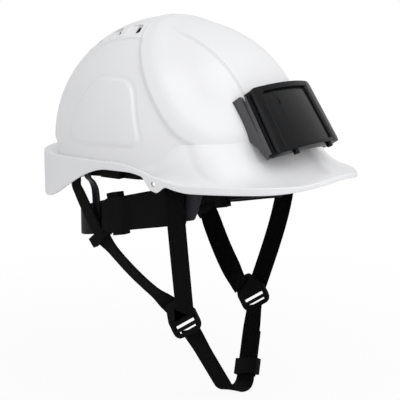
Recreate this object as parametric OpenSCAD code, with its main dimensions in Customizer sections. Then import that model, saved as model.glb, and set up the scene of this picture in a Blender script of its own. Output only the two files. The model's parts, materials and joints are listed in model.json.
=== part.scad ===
// Safety helmet with a full peak, a vented crown, a hinged badge holder, a strap cradle,
// a sliding nape yoke and a Y-shaped chin harness. Lengths are in millimetres.
// The peak points along -Y, the wearer's right is -X and the crown is along +Z.
// The origin is the middle of the head opening, where a head carries the helmet.

/* [Shell] */
// Width of the dome at its foot
dome_w = 210; // [206:1:218]
// Reach of the dome's foot in front of the origin
dome_front = 116; // [113:1:118]
// Reach of the dome's foot behind the origin
dome_rear = 104.5; // [102:0.5:110]
// Height of the dome above its foot
dome_h = 108; // [106:1:116]
// Height of the dome's foot above the origin
foot_z = 15; // [14:1:16]
// Thickness of the moulded wall
wall = 3; // [2.4:0.1:3.4]
// Reach of the peak in front of the dome's foot
peak_l = 51; // [48:1:55]
// Step of the rim outside the dome beside the ears
flare_side = 4; // [3.6:0.2:6]
// Step of the rim outside the dome at the nape
flare_rear = 18; // [15:0.5:20]
// Drop of the nape skirt below the origin
nape_drop = 31.5; // [29:0.5:34]

/* [Vents and lugs] */
// Length of one louvre across the crown
vent_l = 24; // [20:1:28]
// Width of the open slot of one louvre
vent_slot = 4.5; // [4.2:0.1:5.5]
// Distance between louvres along the crown
vent_pitch = 20.5; // [20:0.5:21.5]
// Radius of the accessory hole in each lug
lug_hole_r = 2.1; // [1.8:0.1:2.4]
// Distance of the lugs in front of the origin
lug_y = 54; // [52:1:58]

/* [Badge holder] */
// Height of the hinged cover along its slope
cover_h = 58; // [57:0.5:60]
// Width of the cover at its lower edge
cover_w = 95.5; // [93:0.5:98]
// Depth of the cover from its face to its back edge
cover_d = 9.5; // [9:0.1:11]
// Slope of the cover away from upright
cover_tilt = 32.5; // [31.5:0.5:33.5]
// Radius of the bowed cover face
cover_r = 170; // [160:5:190]
// Width of the window opening
window_w = 72; // [68:1:73]
// Height of the window opening
window_h = 50; // [46:1:50]

/* [Harness] */
// Width of the chin webbing
web_w = 19; // [16:0.5:20]
// Thickness of the webbing
web_t = 1.4; // [1.2:0.1:1.8]
// Inner half width of the headband
head_half = 75; // [73:0.5:76]
// Reach of the headband in front of the origin
head_front = 97; // [94:1:98]
// Reach of the nape yoke behind the origin
head_rear = 88; // [84:1:90]
// Height of the side bands
band_h = 30; // [26:1:32]
// Height of the cradle's webbing cross above the origin
cradle_h = 86; // [80:1:90]
// Length of the lower slot of each strap buckle
buckle_slot = 24; // [22:0.5:26]

/* [Hidden] */
fit = 0.3;

// Dome outline powers: plan, height and girth
plan_n = 2.18;
rise_p = 2.04;
rise_q = 1.97;
crown_back = 3.8;
// Rim and peak heights
brim_z = -11.1;
arch_z = 2.6;
tip_z = -4.6;
lip_min = 4.2;
edge_round = 1.1;
peak_join = 26;
// Relief: rib plane y = rib_slope * z - rib_y, and the parts beside it
rib_slope = 0.8;
rib_y = 98;
rib_half = 4.3;
rib_back = 4.5;
rib_rise = 2.4;
ridge_half = 37;
panel_low = 30;
panel_deep = 4.2;
band_rise = 1.5;
pad_rise = 0.9;

// Plan angles of the shell's sections, closer together beside the lugs
lug_from = 60;
lug_to = 88;
right_angles = concat([for (i = [0:19]) lug_from * i / 20],
                      [for (i = [0:19]) lug_from + (lug_to - lug_from) * i / 20],
                      [for (i = [0:29]) lug_to + (180 - lug_to) * i / 30]);
outer_n = len(right_angles) * 2;
inner_n = outer_n / 2;
function angle_at(i) = i <= outer_n / 2 ? (i == outer_n / 2 ? 180 : right_angles[i]) : 360 - right_angles[outer_n - i];
dome_rings = 17;
inner_rings = 8;

function clamp01(v) = min(1, max(0, v));
function ss(a, b, v) = let(t = clamp01((v - a) / (b - a))) t * t * (3 - 2 * t);
function mix(a, b, t) = a + (b - a) * t;
function smin(a, b, k) = let(t = clamp01(0.5 + 0.5 * (b - a) / k)) mix(b, a, t) - k * t * (1 - t);
function unit(v) = v / norm(v);
function reach(th) = pow(pow(abs(cos(th)), plan_n) + pow(abs(sin(th)), plan_n), -1 / plan_n);
function girth(h) = pow(1 - pow(max(h, 0), rise_p), 1 / rise_q);
function dome_ext(th) = cos(th) > 0 ? dome_front : dome_rear;

// Height of the smooth dome over a plan point
function dome_z(x, y) =
  let(ext = y < 0 ? dome_front : dome_rear,
      g = pow(pow(abs(x) / (dome_w / 2), plan_n) + pow(abs(y) / ext, plan_n), 1 / plan_n))
  foot_z + dome_h * pow(max(0, 1 - pow(min(1, g), rise_q)), 1 / rise_p);

// Front face of the smooth dome at a side offset and height
function dome_y(x, z) =
  let(h = clamp01((z - foot_z) / dome_h), g = girth(h))
  crown_back * h - dome_front * g * pow(max(0, 1 - pow(abs(x) / (dome_w / 2 * g), plan_n)), 1 / plan_n);

// Raised side pad: a shield between an arched top, two leaning sides and a flat foot
function pad_inside(y, z) =
  let(top = 74 - z - pow((y - 2) / 38, 2) * 6,
      front = y + 20 + 0.35 * (73 - z),
      rear = 24 + 0.33 * (72 - z) - y,
      low = z - 23)
  smin(smin(top, low, 9), smin(front, rear, 9), 12);

// Outward relief of the shell: rib, sunk front panels, rear centre band and side pads
function relief(p, fine) =
  let(ax = abs(p[0]), y = p[1], z = p[2],
      w = (y - rib_slope * z + rib_y) / norm([1, rib_slope]),
      ahead = smin(-w - rib_half, z - panel_low, 24),
      sunk = panel_deep * ss(0, 20, ahead) * ss(ridge_half - 1.5, ridge_half + 1.5, ax),
      // The rib has a steep flank behind and a slow fall in front
      a = ahead + rib_half,
      ends = (1 - ss(80, 104, -y)) * ss(12, 26, z),
      rib = rib_rise * exp(-pow(max(a, 0) / 8, 2)) * ss(-rib_back - 5, -rib_back + 1, a) * ends,
      band_edge = 57 + 0.4 * max(0, 98 - z),
      band = band_rise * (1 - ss(band_edge - 1.5, band_edge + 1.5, ax)) * ss(4, 9, w) * ss(foot_z, foot_z + 6, z),
      pad = fine ? pad_rise * ss(-1.5, 1.5, pad_inside(y, z)) * ss(70, 84, ax) : 0)
  rib - sunk + band + pad;

// Point of the dome at a plan angle and a share of its height, moved in by the wall
function dome_pt(th, h, t, fine) =
  let(m = reach(th) * girth(h),
      base = [(dome_w / 2) * m * sin(th), crown_back * max(h, 0) - dome_ext(th) * m * cos(th), foot_z + dome_h * h],
      p = [(dome_w / 2 - t) * m * sin(th), crown_back * max(h, 0) - (dome_ext(th) - t) * m * cos(th),
           foot_z + (dome_h - t) * h],
      n = unit([base[0] / pow(dome_w / 2, 2), (base[1] - crown_back * max(h, 0)) / pow(dome_ext(th), 2),
                max(0, dome_h * h) / pow(dome_h, 2) + 0.0001]))
  p + n * relief(base, fine);

function edge_ext(th) = cos(th) > 0 ? dome_front + peak_l : dome_rear + flare_rear;
function edge_xy(th, t) =
  [(dome_w / 2 + flare_side - t) * reach(th) * sin(th), -(edge_ext(th) - t) * reach(th) * cos(th)];

// Lower edge of the rim: low at the nape, arched at the ear, level along the peak, lifted at its tip
function rim_z(p) =
  brim_z + (arch_z - brim_z) * ss(-86, -27, p[1]) - (nape_drop + arch_z) * ss(-9.5, 85, p[1])
  + (tip_z - brim_z) * (1 - ss(0, 72, abs(p[0]))) * ss(90, 150, -p[1])
  - lug_drop * (1 - ss(0.15, 1, abs(p[1] + lug_y) / lug_half));
// Top of the rim, where the gutter runs
function lip_z(p) =
  max(rim_z(p) + lip_min, -4.6 + 14.1 * ss(-83.5, -17.5, p[1]) - 3 * ss(10, 120, p[1]));

function front_share(th) = ss(0.28, 0.62, reach(th) * cos(th));
function start_h(th, lip) = (mix(lip + 4, peak_join, front_share(th)) - foot_z) / dome_h;
function bezier(a, b, c, d, t) =
  a * pow(1 - t, 3) + b * 3 * t * pow(1 - t, 2) + c * 3 * t * t * (1 - t) + d * pow(t, 3);

// Gutter ledge beside and behind, peak and its root in front, blended between
function ledge_pt(th, u, t) =
  let(e = edge_xy(th, t + edge_round), lip = lip_z(edge_xy(th, 0)),
      a = [e[0], e[1], lip - t],
      d = dome_pt(th, start_h(th, lip), t, false),
      out = [sin(th), -cos(th), 0],
      spread = 3 + 9 * ss(30, 60, abs(d[0])),
      b = mix(a, [d[0], d[1], a[2]], 0.58) + [0, 0, 4],
      c = [d[0], d[1], min(d[2] - 5, 10 - t)] + out * spread,
      front = bezier(a, b, c, d, u),
      wall_xy = [d[0], d[1]],
      side_r = u < 0.7 ? u / 0.6 : 1,
      side_xy = mix([a[0], a[1]], wall_xy, min(1, side_r)),
      side_z = u < 0.5 ? lip - t : u < 0.7 ? lip - t - (t == 0 ? 0.7 : 0) : mix(lip - t, d[2], (u - 0.7) / 0.3),
      side = [side_xy[0], side_xy[1], side_z])
  mix(side, front, front_share(th));

function dome_h_at(th, k, rings) =
  let(a0 = asin(start_h(th, lip_z(edge_xy(th, 0)))))
  sin(mix(a0, 90, k / rings));

function lip_pt(th, t, z) = let(e = edge_xy(th, t)) [e[0], e[1], z];

outer_lip = 4;
ledge_rings = 5;
function outer_pt(th, k) =
  let(e = edge_xy(th, 0), low = rim_z(e), top = lip_z(e))
  k == 0 ? lip_pt(th, edge_round, low)
  : k == 1 ? lip_pt(th, 0, low + edge_round)
  : k == 2 ? lip_pt(th, 0, top - edge_round)
  : k == 3 ? lip_pt(th, edge_round, top)
  : k < outer_lip + ledge_rings ? ledge_pt(th, (k - outer_lip + 1) / ledge_rings, 0)
  : dome_pt(th, dome_h_at(th, k - outer_lip - ledge_rings + 1, dome_rings), 0, true);
outer_k = outer_lip + ledge_rings + dome_rings - 1;

inner_lip = 2;
inner_ledge = 4;
function inner_pt(th, k) =
  let(e = edge_xy(th, 0), low = rim_z(e), top = lip_z(e))
  k == 0 ? lip_pt(th, wall - 0.6, low)
  : k == 1 ? lip_pt(th, wall, low + edge_round)
  : k < inner_lip + inner_ledge ? ledge_pt(th, (k - inner_lip) / (inner_ledge - 1), wall)
  : dome_pt(th, dome_h_at(th, k - inner_lip - inner_ledge + 1, inner_rings), wall, false);
inner_k = inner_lip + inner_ledge + inner_rings - 1;

module shell_wall() {
  outer = [for (k = [0:outer_k - 1], i = [0:outer_n - 1]) outer_pt(angle_at(i), k)];
  inner = [for (k = [0:inner_k - 1], i = [0:inner_n - 1]) inner_pt(angle_at(2 * i), k)];
  crown_out = [0, crown_back, foot_z + dome_h + relief([0, crown_back, foot_z + dome_h], false)];
  crown_in = [0, crown_back, foot_z + dome_h - wall + relief([0, crown_back, foot_z + dome_h], false)];
  first_in = len(outer);
  pole_out = first_in + len(inner);
  pole_in = pole_out + 1;
  faces = concat(
    [for (k = [0:outer_k - 2], i = [0:outer_n - 1]) let(j = (i + 1) % outer_n)
      each [[k * outer_n + i, (k + 1) * outer_n + i, (k + 1) * outer_n + j],
            [k * outer_n + i, (k + 1) * outer_n + j, k * outer_n + j]]],
    [for (i = [0:outer_n - 1]) [(outer_k - 1) * outer_n + i, pole_out, (outer_k - 1) * outer_n + (i + 1) % outer_n]],
    [for (k = [0:inner_k - 2], i = [0:inner_n - 1]) let(j = (i + 1) % inner_n, s = first_in)
      each [[s + k * inner_n + i, s + (k + 1) * inner_n + j, s + (k + 1) * inner_n + i],
            [s + k * inner_n + i, s + k * inner_n + j, s + (k + 1) * inner_n + j]]],
    [for (i = [0:inner_n - 1]) let(s = first_in + (inner_k - 1) * inner_n) [s + i, s + (i + 1) % inner_n, pole_in]],
    [for (i = [0:inner_n - 1]) let(j = (i + 1) % inner_n, a = 2 * i, b = 2 * i + 1, c = (2 * i + 2) % outer_n)
      each [[a, b, first_in + i], [b, first_in + j, first_in + i], [b, c, first_in + j]]]);
  polyhedron(concat(outer, inner, [crown_out, crown_in]), faces, convexity = 10);
}

// One louvre: a shallow ramp that falls forward into an open slot
vent_x = 44;
vent_first_y = 12.5;
ramp_l = 18;
ramp_deep = 2.7;
ramp_end = 0.8;
module vent(side, index) {
  y = vent_first_y + index * vent_pitch;
  z = dome_z(vent_x, y) + band_rise;
  step = 4;
  roll = atan((dome_z(vent_x - step, y) - dome_z(vent_x + step, y)) / (2 * step));
  pitch = atan((dome_z(vent_x, y + step) - dome_z(vent_x, y - step)) / (2 * step));
  translate([side * vent_x, y, z])
    rotate([pitch, side * roll, 0]) {
      translate([-vent_l / 2, -ramp_l / 2, -ramp_deep])
        rotate([atan((ramp_deep - ramp_end) / ramp_l), 0, 0])
          cube([vent_l, ramp_l, 12]);
      translate([-vent_l / 2, -ramp_l / 2, -12])
        cube([vent_l, vent_slot, 24]);
    }
}

// Hole through the lug that hangs below the rim
lug_z = -5.2;
lug_half = 11.5;
lug_drop = 8;
function edge_x(y) =
  (dome_w / 2 + flare_side) * pow(1 - pow(abs(y) / (dome_front + peak_l), plan_n), 1 / plan_n);
// The bore stands square to the rim's outer face
lug_turn = atan2(pow(lug_y, plan_n - 1) / pow(dome_front + peak_l, plan_n),
                 pow(edge_x(lug_y), plan_n - 1) / pow(dome_w / 2 + flare_side, plan_n));
module lug_bore(side) {
  translate([side * edge_x(lug_y), -lug_y, lug_z])
    rotate([0, 90, -side * lug_turn]) cylinder(r = lug_hole_r, h = 20, center = true, $fn = 32);
}

// Holder frame: origin at the middle of the cover's lower edge, Y into the shell, Z up the slope
cover_y = -141.4;
cover_z = 23.3;
module holder_frame() {
  translate([0, cover_y, cover_z]) rotate([-cover_tilt, 0, 0]) children();
}
tray_gap = 0.4;
tray_t = 1.8;
rivet_x = 22;
rivet_z = 30;
rivet_r = 2;
boss_r = 3.6;
// Depth from the holder frame to the dome along the frame's own Y, by halving steps
function holder_pt(x, y, z) =
  [x, cover_y + y * cos(cover_tilt) + z * sin(cover_tilt), cover_z - y * sin(cover_tilt) + z * cos(cover_tilt)];
function in_dome(p) = p[2] < dome_z(p[0], p[1]);
function depth(x, z, lo = 4, hi = 40, i = 0) =
  i > 12 ? (lo + hi) / 2
  : let(m = (lo + hi) / 2) in_dome(holder_pt(x, m, z)) ? depth(x, z, lo, m, i + 1) : depth(x, z, m, hi, i + 1);
boss_end = min([for (a = [0:45:315]) depth(rivet_x + boss_r * cos(a), rivet_z + boss_r * sin(a))]) - 0.1;
module rivet_bores(r) {
  holder_frame()
    for (side = [-1, 1])
      translate([side * rivet_x, 0, rivet_z]) rotate([-90, 0, 0]) cylinder(r = r, h = 46, $fn = 24);
}

module shell() color("white") {
  difference() {
    shell_wall();
    for (side = [-1, 1]) lug_bore(side);
    for (side = [-1, 1], index = [0:2]) vent(side, index);
    rivet_bores(rivet_r + 0.05);
  }
}

function total(v, i = 0) = i >= len(v) ? 0 : v[i] + total(v, i + 1);
// Skin over a row of sections with the same number of points
module skin(rings, loop = false) {
  n = len(rings[0]);
  count = len(rings);
  last = loop ? count - 1 : count - 2;
  sides = [for (k = [0:last], i = [0:n - 1])
    let(j = (i + 1) % n, m = (k + 1) % count)
    each i < n / 2 ? [[k * n + i, m * n + i, m * n + j], [k * n + i, m * n + j, k * n + j]]
    : [[k * n + i, m * n + i, k * n + j], [m * n + i, m * n + j, k * n + j]]];
  caps = loop ? [] : concat([[for (i = [0:n - 1]) i]], [[for (i = [n - 1:-1:0]) (count - 1) * n + i]]);
  points = [for (r = rings) each r];
  faces = concat(sides, caps);
  volume = total([for (f = sides) points[f[0]] * cross(points[f[1]], points[f[2]])]);
  polyhedron(points, volume > 0 ? [for (f = faces) [for (i = [len(f) - 1:-1:0]) f[i]]] : faces, convexity = 6);
}

// Flat strap along a path, with its width direction at each point
function strap_rings(path, wide, w, t) =
  [for (i = [0:len(path) - 1])
    let(along = unit(path[min(i + 1, len(path) - 1)] - path[max(i - 1, 0)]),
        flat = unit(cross(along, wide[i])),
        across = unit(cross(flat, along)))
    [path[i] + across * w / 2 + flat * t / 2, path[i] - across * w / 2 + flat * t / 2,
     path[i] - across * w / 2 - flat * t / 2, path[i] + across * w / 2 - flat * t / 2]];
module strap(path, wide, w, t) {
  skin(strap_rings(path, wide, w, t));
}

// Headband plan: straight sides with a rounded front and back. A hoop runs along it.
straight_front = -38;
straight_rear = 26;
function hoop_xy(a, half, front, rear) =
  let(c = cos(a), s = sin(a))
  abs(a) <= 90 ? [-half * s, straight_front - (front + straight_front) * c]
  : [-half * s, straight_rear - (rear - straight_rear) * c];
// Angles at even steps, with the straight side given by the two 90 degree points
function hoop_angles(a0, a1, n) = [for (i = [0:n]) mix(a0, a1, i / n)];
function hoop_ring(a, half, front, rear, t, low, high, y_shift = 0) =
  let(p = hoop_xy(a, half, front, rear),
      q = hoop_xy(a, half + t, front + t, rear + t),
      lo = low(p[1]), hi = high(p[1]))
  [[p[0], p[1], lo], [p[0], p[1], hi], [q[0], q[1], hi], [q[0], q[1], lo]];
function ring_at(x0, x1, y, lo, hi) = [[x0, y, lo], [x0, y, hi], [x1, y, hi], [x1, y, lo]];

// Side line of the headband, falling to the rear
band_slope = 0.2;
band_mid_z = -38;
band_mid_y = -6;
function band_z(y) = band_mid_z - band_slope * (y - band_mid_y);
slide_angle = atan(band_slope);

front_low = -12;
front_high = 15;
band_t = 2;
headband_h = band_h - 4;
headband_end = 10;
function head_low(y) = mix(band_z(y) - headband_h / 2, front_low, ss(66, 74, -y));
function head_high(y) = mix(band_z(y) + headband_h / 2, front_high, ss(30, 72, -y));
module headband() color("dimgray") {
  half = head_half;
  low = function(y) head_low(y);
  high = function(y) head_high(y);
  difference() {
    skin(concat(
      [ring_at(half, half + band_t, headband_end, low(headband_end), high(headband_end))],
      [for (a = hoop_angles(-90, 90, 40)) hoop_ring(a, half, head_front, head_rear, band_t, low, high)],
      [ring_at(-half, -half - band_t, headband_end, low(headband_end), high(headband_end))]));
    for (side = [-1, 1])
      translate([side * (half + band_t / 2), -14, band_z(-14)])
        rotate([-slide_angle, 0, 0])
          cube([10, 26, 3], center = true);
  }
  for (side = [-1, 1]) head_stud(side);
}
// Stud that stands from the headband's front quarter to the ring
stud_a = 38;
stud_r = 5;
stud_z = 4;
module head_stud(side) {
  f = head_front + band_t;
  p = hoop_xy(side * stud_a, head_half + band_t, f, head_rear);
  n = unit([-side * sin(stud_a) * (f + straight_front), -cos(stud_a) * (head_half + band_t)]);
  t = [-n[1], n[0]];
  gap = min([for (k = [-1, 0, 1]) to_oval(p + t * stud_r * k, n, ring_half, ring_front)]) - 0.15;
  translate([p[0], p[1], stud_z])
    rotate([0, 90, atan2(n[1], n[0])])
      translate([0, 0, -1]) cylinder(r = stud_r, h = gap + 0.8, $fn = 24);
}
// Distance from a point along a direction to a superellipse, by halving steps
function out_of(q, a, b) = pow(abs(q[0]) / a, plan_n) + pow(abs(q[1]) / b, plan_n) > 1;
function to_oval(p, n, a, b, lo = 0, hi = 40, i = 0) =
  i > 12 ? (lo + hi) / 2
  : let(m = (lo + hi) / 2) out_of(p + n * m, a, b) ? to_oval(p, n, a, b, lo, m, i + 1) : to_oval(p, n, a, b, m, hi, i + 1);

sweat_t = 4;
module sweatband() color("black") {
  half = head_half - fit - sweat_t;
  front = head_front - fit - sweat_t;
  low = function(y) front_low + 1;
  high = function(y) front_high - 1;
  skin([for (a = hoop_angles(-66, 66, 30)) hoop_ring(a, half, front, head_rear, sweat_t, low, high)]);
}

side_t = 2.5;
past_keeper = 2.9;
side_front_y = -62;
module side_band(side) color([0.07, 0.07, 0.08]) {
  half = head_half + band_t + fit;
  front = head_front + band_t + fit;
  rear_y = 20;
  low = function(y) band_z(y) - band_h / 2 + 2 * ss(12, 20, y);
  high = function(y) band_z(y) + band_h / 2 + 2 * ss(20, 60, -y) - 2 * ss(12, 20, y);
  steps = 8;
  reach_a = acos((-side_front_y + straight_front) / (front + straight_front));
  rings = concat(
    [for (y = [rear_y, 12, 0]) ring_at(-half - past_keeper, -half - past_keeper - side_t, y, low(y), high(y))],
    [ring_at(-half, -half - side_t, -14, low(-14), high(-14))],
    [for (i = [0:steps]) hoop_ring(mix(90, reach_a, i / steps), half, front, head_rear, side_t, low, high)]);
  sided(side) skin(rings);
}

yoke_t = 2.2;
tongue_y = -37;
module size_keeper(side) color([0.05, 0.05, 0.06]) {
  y = 8;
  keeper_l = 13;
  inner_x = head_half - yoke_t - 2 * fit;
  outer_x = head_half + band_t + fit;
  skin_t = 1.6;
  translate([side * (inner_x + outer_x) / 2, y, band_z(y)])
    rotate([-slide_angle, 0, 0])
      difference() {
        cube([outer_x - inner_x + 2 * skin_t, keeper_l, band_h + 2 * fit + 6], center = true);
        cube([outer_x - inner_x, keeper_l + 2, band_h + 2 * fit], center = true);
      }
}

// Nape yoke: one band from tongue to tongue round the back of the head
rear_h = 26;
module nape_yoke() color([0.1, 0.11, 0.13]) {
  half = head_half - fit - yoke_t;
  rear = head_rear;
  tongue_h = band_h - 6;
  low = function(y) band_z(y) - mix(tongue_h, rear_h, ss(18, 60, y)) / 2 - 4 * ss(18, 40, y);
  high = function(y) band_z(y) + mix(tongue_h, rear_h, ss(18, 60, y)) / 2 + 1 * ss(18, 40, y);
  difference() {
    skin(concat(
      [ring_at(half, half + yoke_t, tongue_y, low(tongue_y), high(tongue_y))],
      [ring_at(half, half + yoke_t, 18, low(18), high(18))],
      [for (a = hoop_angles(-270, -90, 36)) hoop_back(a, half, rear, yoke_t, low, high)],
      [ring_at(-half, -half - yoke_t, 18, low(18), high(18))],
      [ring_at(-half, -half - yoke_t, tongue_y, low(tongue_y), high(tongue_y))]));
    for (side = [-1, 1])
      translate([side * 20, rear, band_z(rear)])
        cube([18, 30, 9], center = true);
  }
}
// Section of a hoop round the back, running from the left side to the right
function hoop_back(a, half, rear, t, low, high) =
  let(x = -half * sin(a), y = straight_rear - (rear - straight_rear) * cos(a),
      x2 = -(half + t) * sin(a), y2 = straight_rear - (rear + t - straight_rear) * cos(a))
  [[-x, y, low(y)], [-x, y, high(y)], [-x2, y2, high(y)], [-x2, y2, low(y)]];

nape_pad_t = 4;
module nape_pad() color("black") {
  half = head_half - fit - yoke_t - fit - nape_pad_t;
  rear = head_rear - fit - nape_pad_t;
  low = function(y) band_z(y) - rear_h / 2 - 2;
  high = function(y) band_z(y) + rear_h / 2 - 1;
  skin([for (a = hoop_angles(-140, -220, 18)) hoop_back(a, half, rear, nape_pad_t, low, high)]);
}

// Cradle ring inside the rim, carried by six hangers
ring_half = 86;
ring_front = 103;
ring_rear = 94;
ring_t = 2.4;
ring_low = -7;
ring_high = 5;
function ring_low_z(y) = ring_low - 2.5 * ss(0, 40, y) + 5 * ss(20, 80, -y);
module cradle_ring() color([0.06, 0.06, 0.07]) {
  low = function(y) ring_low_z(y);
  high = function(y) ring_low_z(y) + ring_high - ring_low;
  count = 64;
  skin([for (i = [0:count - 1]) let(a = 360 * i / count, p = oval(a, 0), q = oval(a, ring_t))
    [[p[0], p[1], low(p[1])], [p[0], p[1], high(p[1])], [q[0], q[1], high(q[1])], [q[0], q[1], low(q[1])]]],
    loop = true);
}
function oval(a, t) =
  [-(ring_half + t) * reach(a) * sin(a), -((cos(a) > 0 ? ring_front : ring_rear) + t) * reach(a) * cos(a)];

// Hanger: stands between the ring and the shell's inner wall, pockets for the webbing
hanger_half = 10;
tongue_d = 5;
pocket_slack = 0.5;
strap_pocket = 9;
cradle_web = 16;
cradle_t = 1.1;
foot_half = 6;
foot_h = 7;
front_a = 59;
ear_a = 90;
rear_a = 119;
front_top_z = 32;
ear_top_z = 20;
rear_top_z = 15.5;
function turn(a) = let(p = oval(a - 1, 0), q = oval(a + 1, 0)) atan2(q[1] - p[1], q[0] - p[0]);
function tangent(a) = [cos(turn(a)), sin(turn(a))];
function outward(a) = [-sin(turn(a)), cos(turn(a))];
// Reach from the ring's outer face to the dome's inner wall at a height
function wall_reach(a, z) =
  let(g = girth((z - foot_z) / (dome_h - wall)), ext = cos(a) > 0 ? dome_front : dome_rear, p = oval(a, ring_t))
  min([for (k = [-1, 1]) to_oval(p + tangent(a) * foot_half * k, outward(a), (dome_w / 2 - wall) * g, (ext - wall) * g)]);
module hanger(a, top_z, strap_xy = undef) color([0.08, 0.08, 0.09]) {
  p = oval(a, ring_t);
  low = ring_low_z(p[1]);
  top = top_z - low;
  ring_h = ring_high - ring_low;
  d = is_undef(strap_xy) ? [0, 0] : strap_xy - p;
  sx = d * tangent(a);
  sy = d * outward(a);
  half = is_undef(strap_xy) ? hanger_half : web_w / 2 + 1.9;
  deep = is_undef(strap_xy) ? tongue_d + 1 : sy + 3.2;
  translate([p[0], p[1], low])
    rotate([0, 0, turn(a)])
      difference() {
        union() {
          translate([sx - half, 0.06, 0]) cube([half * 2, deep, ring_h]);
          translate([-hanger_half, 0.06, ring_h - 0.1]) cube([hanger_half * 2, tongue_d, top - ring_h + 0.1]);
          translate([-foot_half, 2, top - foot_h]) cube([foot_half * 2, wall_reach(a, top_z) - 2.45, foot_h]);
        }
        translate([-cradle_web / 2 - pocket_slack / 2, tongue_d / 2 - cradle_t / 2 - pocket_slack / 2, top - 9])
          cube([cradle_web + pocket_slack, cradle_t + pocket_slack, 12]);
        if (!is_undef(strap_xy))
          translate([sx - web_w / 2 - pocket_slack / 2, sy - web_t / 2 - pocket_slack / 2, -1])
            cube([web_w + pocket_slack, web_t + pocket_slack, strap_pocket + 1]);
      }
}

// Cradle webbing: an arch from one hanger to the opposite one
function arch_path(a, b, za, zb, top, n) =
  let(off = 0.06 + tongue_d / 2, p = oval(a, ring_t) + outward(a) * off, q = oval(b, ring_t) + outward(b) * off, down = 8,
      pa = [p[0], p[1], za], pb = [q[0], q[1], zb])
  concat([pa - [0, 0, down], pa],
    [for (i = [0:n]) let(u = 180 * i / n, f = (1 - cos(u)) / 2)
      [mix(pa[0], pb[0], f), mix(pa[1], pb[1], f),
       1.5 + mix(za, zb, f) + (top - 1.5 - (za + zb) / 2) * pow(sin(u), 0.9)]],
    [pb, pb - [0, 0, down]]);
module cradle_strap(a, b, za, zb, top) {
  n = 16;
  path = arch_path(a, b, za, zb, top, n);
  ta = tangent(a);
  tb = -tangent(b);
  last = len(path) - 1;
  wide = [for (i = [0:last]) let(f = ss(2, last - 2, i)) unit([mix(ta[0], tb[0], f), mix(ta[1], tb[1], f), 0])];
  color([0.1, 0.1, 0.11]) strap(path, wide, cradle_web, cradle_t);
}

// Chin harness, given for the wearer's right and mirrored for the left
strap_top = [-84.6, -58.5];
strap_top_z = ring_low_z(strap_top[1]) + strap_pocket - 0.6;
buckle_at = [-52.5, -46.4, -134];
face_x = buckle_at[0];
guide_at = [-77.35, 26, -62.4];
rear_top = [-82, 49.1];
rear_bend_z = -20;
rear_top_pocket_z = ring_low_z(rear_top[1]) + strap_pocket - 0.6;
slot_dir = unit([0, -0.84, 0.54]);
fore = [0, -1, 0];
function flip(side, p) = [side < 0 ? p[0] : -p[0], p[1], p[2]];

module front_strap(side) color([0.05, 0.05, 0.05]) {
  head = [strap_top[0], strap_top[1], strap_top_z];
  foot = [face_x - buckle_t / 2 - web_t / 2 - 0.45, -48, -124];
  kink = [strap_top[0] + 0.4, strap_top[1] - 0.1, -10];
  n = 10;
  bulge = [-5.2, -3.9, 0];
  path = concat([head, [strap_top[0], strap_top[1], -5]],
                [for (i = [0:n]) let(u = i / n) mix(kink, foot, u) + bulge * sin(180 * pow(u, 0.7))]);
  t = -tangent(front_a);
  wide = [for (i = [0:n + 2]) unit(mix([t[0], t[1], 0], fore, ss(0.5, 3.5, i)))];
  sided(side) strap(path, wide, web_w, web_t);
}
// A right-hand piece, mirrored for the left
module sided(side) {
  if (side < 0) children();
  else mirror([1, 0, 0]) children();
}
module rear_strap_upper(side) color([0.05, 0.05, 0.05]) {
  foot = guide_at + [-0.1, 1.9, 1.7];
  bend = [rear_top[0], rear_top[1], rear_bend_z];
  path = concat([[rear_top[0], rear_top[1], rear_top_pocket_z], [rear_top[0], rear_top[1], -12]],
                [for (i = [0:6]) mix(bend, foot, i / 6) + [-0.7 * sin(30 * i), 0, 0]]);
  across = unit([0, -0.78, 0.62]);
  t = -tangent(rear_a);
  wide = [for (i = [0:8]) unit(mix([t[0], t[1], 0], across, ss(0.5, 4, i)))];
  sided(side) strap(path, wide, web_w, web_t);
}
module rear_strap_lower(side) color([0.05, 0.05, 0.05]) {
  foot = [face_x + buckle_t / 2 + web_t / 2 + 1.7, -33, -120];
  head = guide_at + unit(foot - guide_at) * 6.6;
  loop_dir = [0, -cos(slide_angle + 28), sin(slide_angle + 28)];
  across = unit([0, -0.62, 0.78]);
  sag = [-1.2, 3.4, -3.6];
  path = [for (i = [0:8]) mix(head, foot, i / 8) + sag * sin(22.5 * i)];
  wide = [for (i = [0:8]) unit(mix(loop_dir, across, ss(0, 4, i)))];
  sided(side) strap(path, wide, web_w, web_t);
}

// Guide loop on the yoke's outer face, where the rear strap turns
guide_wall = 1.2;
guide_h = 9;
module strap_guide(side) color([0.04, 0.04, 0.05]) {
  yoke_out = head_half - fit;
  slot_x = web_t + 2 * fit + 0.8;
  plate_t = 1.4;
  sided(side)
    difference() {
      union() {
        translate(guide_at) rotate([-slide_angle - 28, 0, 0])
          cube([slot_x + 2 * guide_wall, web_w + 5, guide_h], center = true);
        translate([-yoke_out - 0.1 - plate_t, guide_at[1] - 6, guide_at[2] - 2]) cube([plate_t, 11, 15]);
      }
      translate(guide_at) rotate([-slide_angle - 28, 0, 0]) cube([slot_x, web_w + 1.4, 30], center = true);
    }
}

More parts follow.
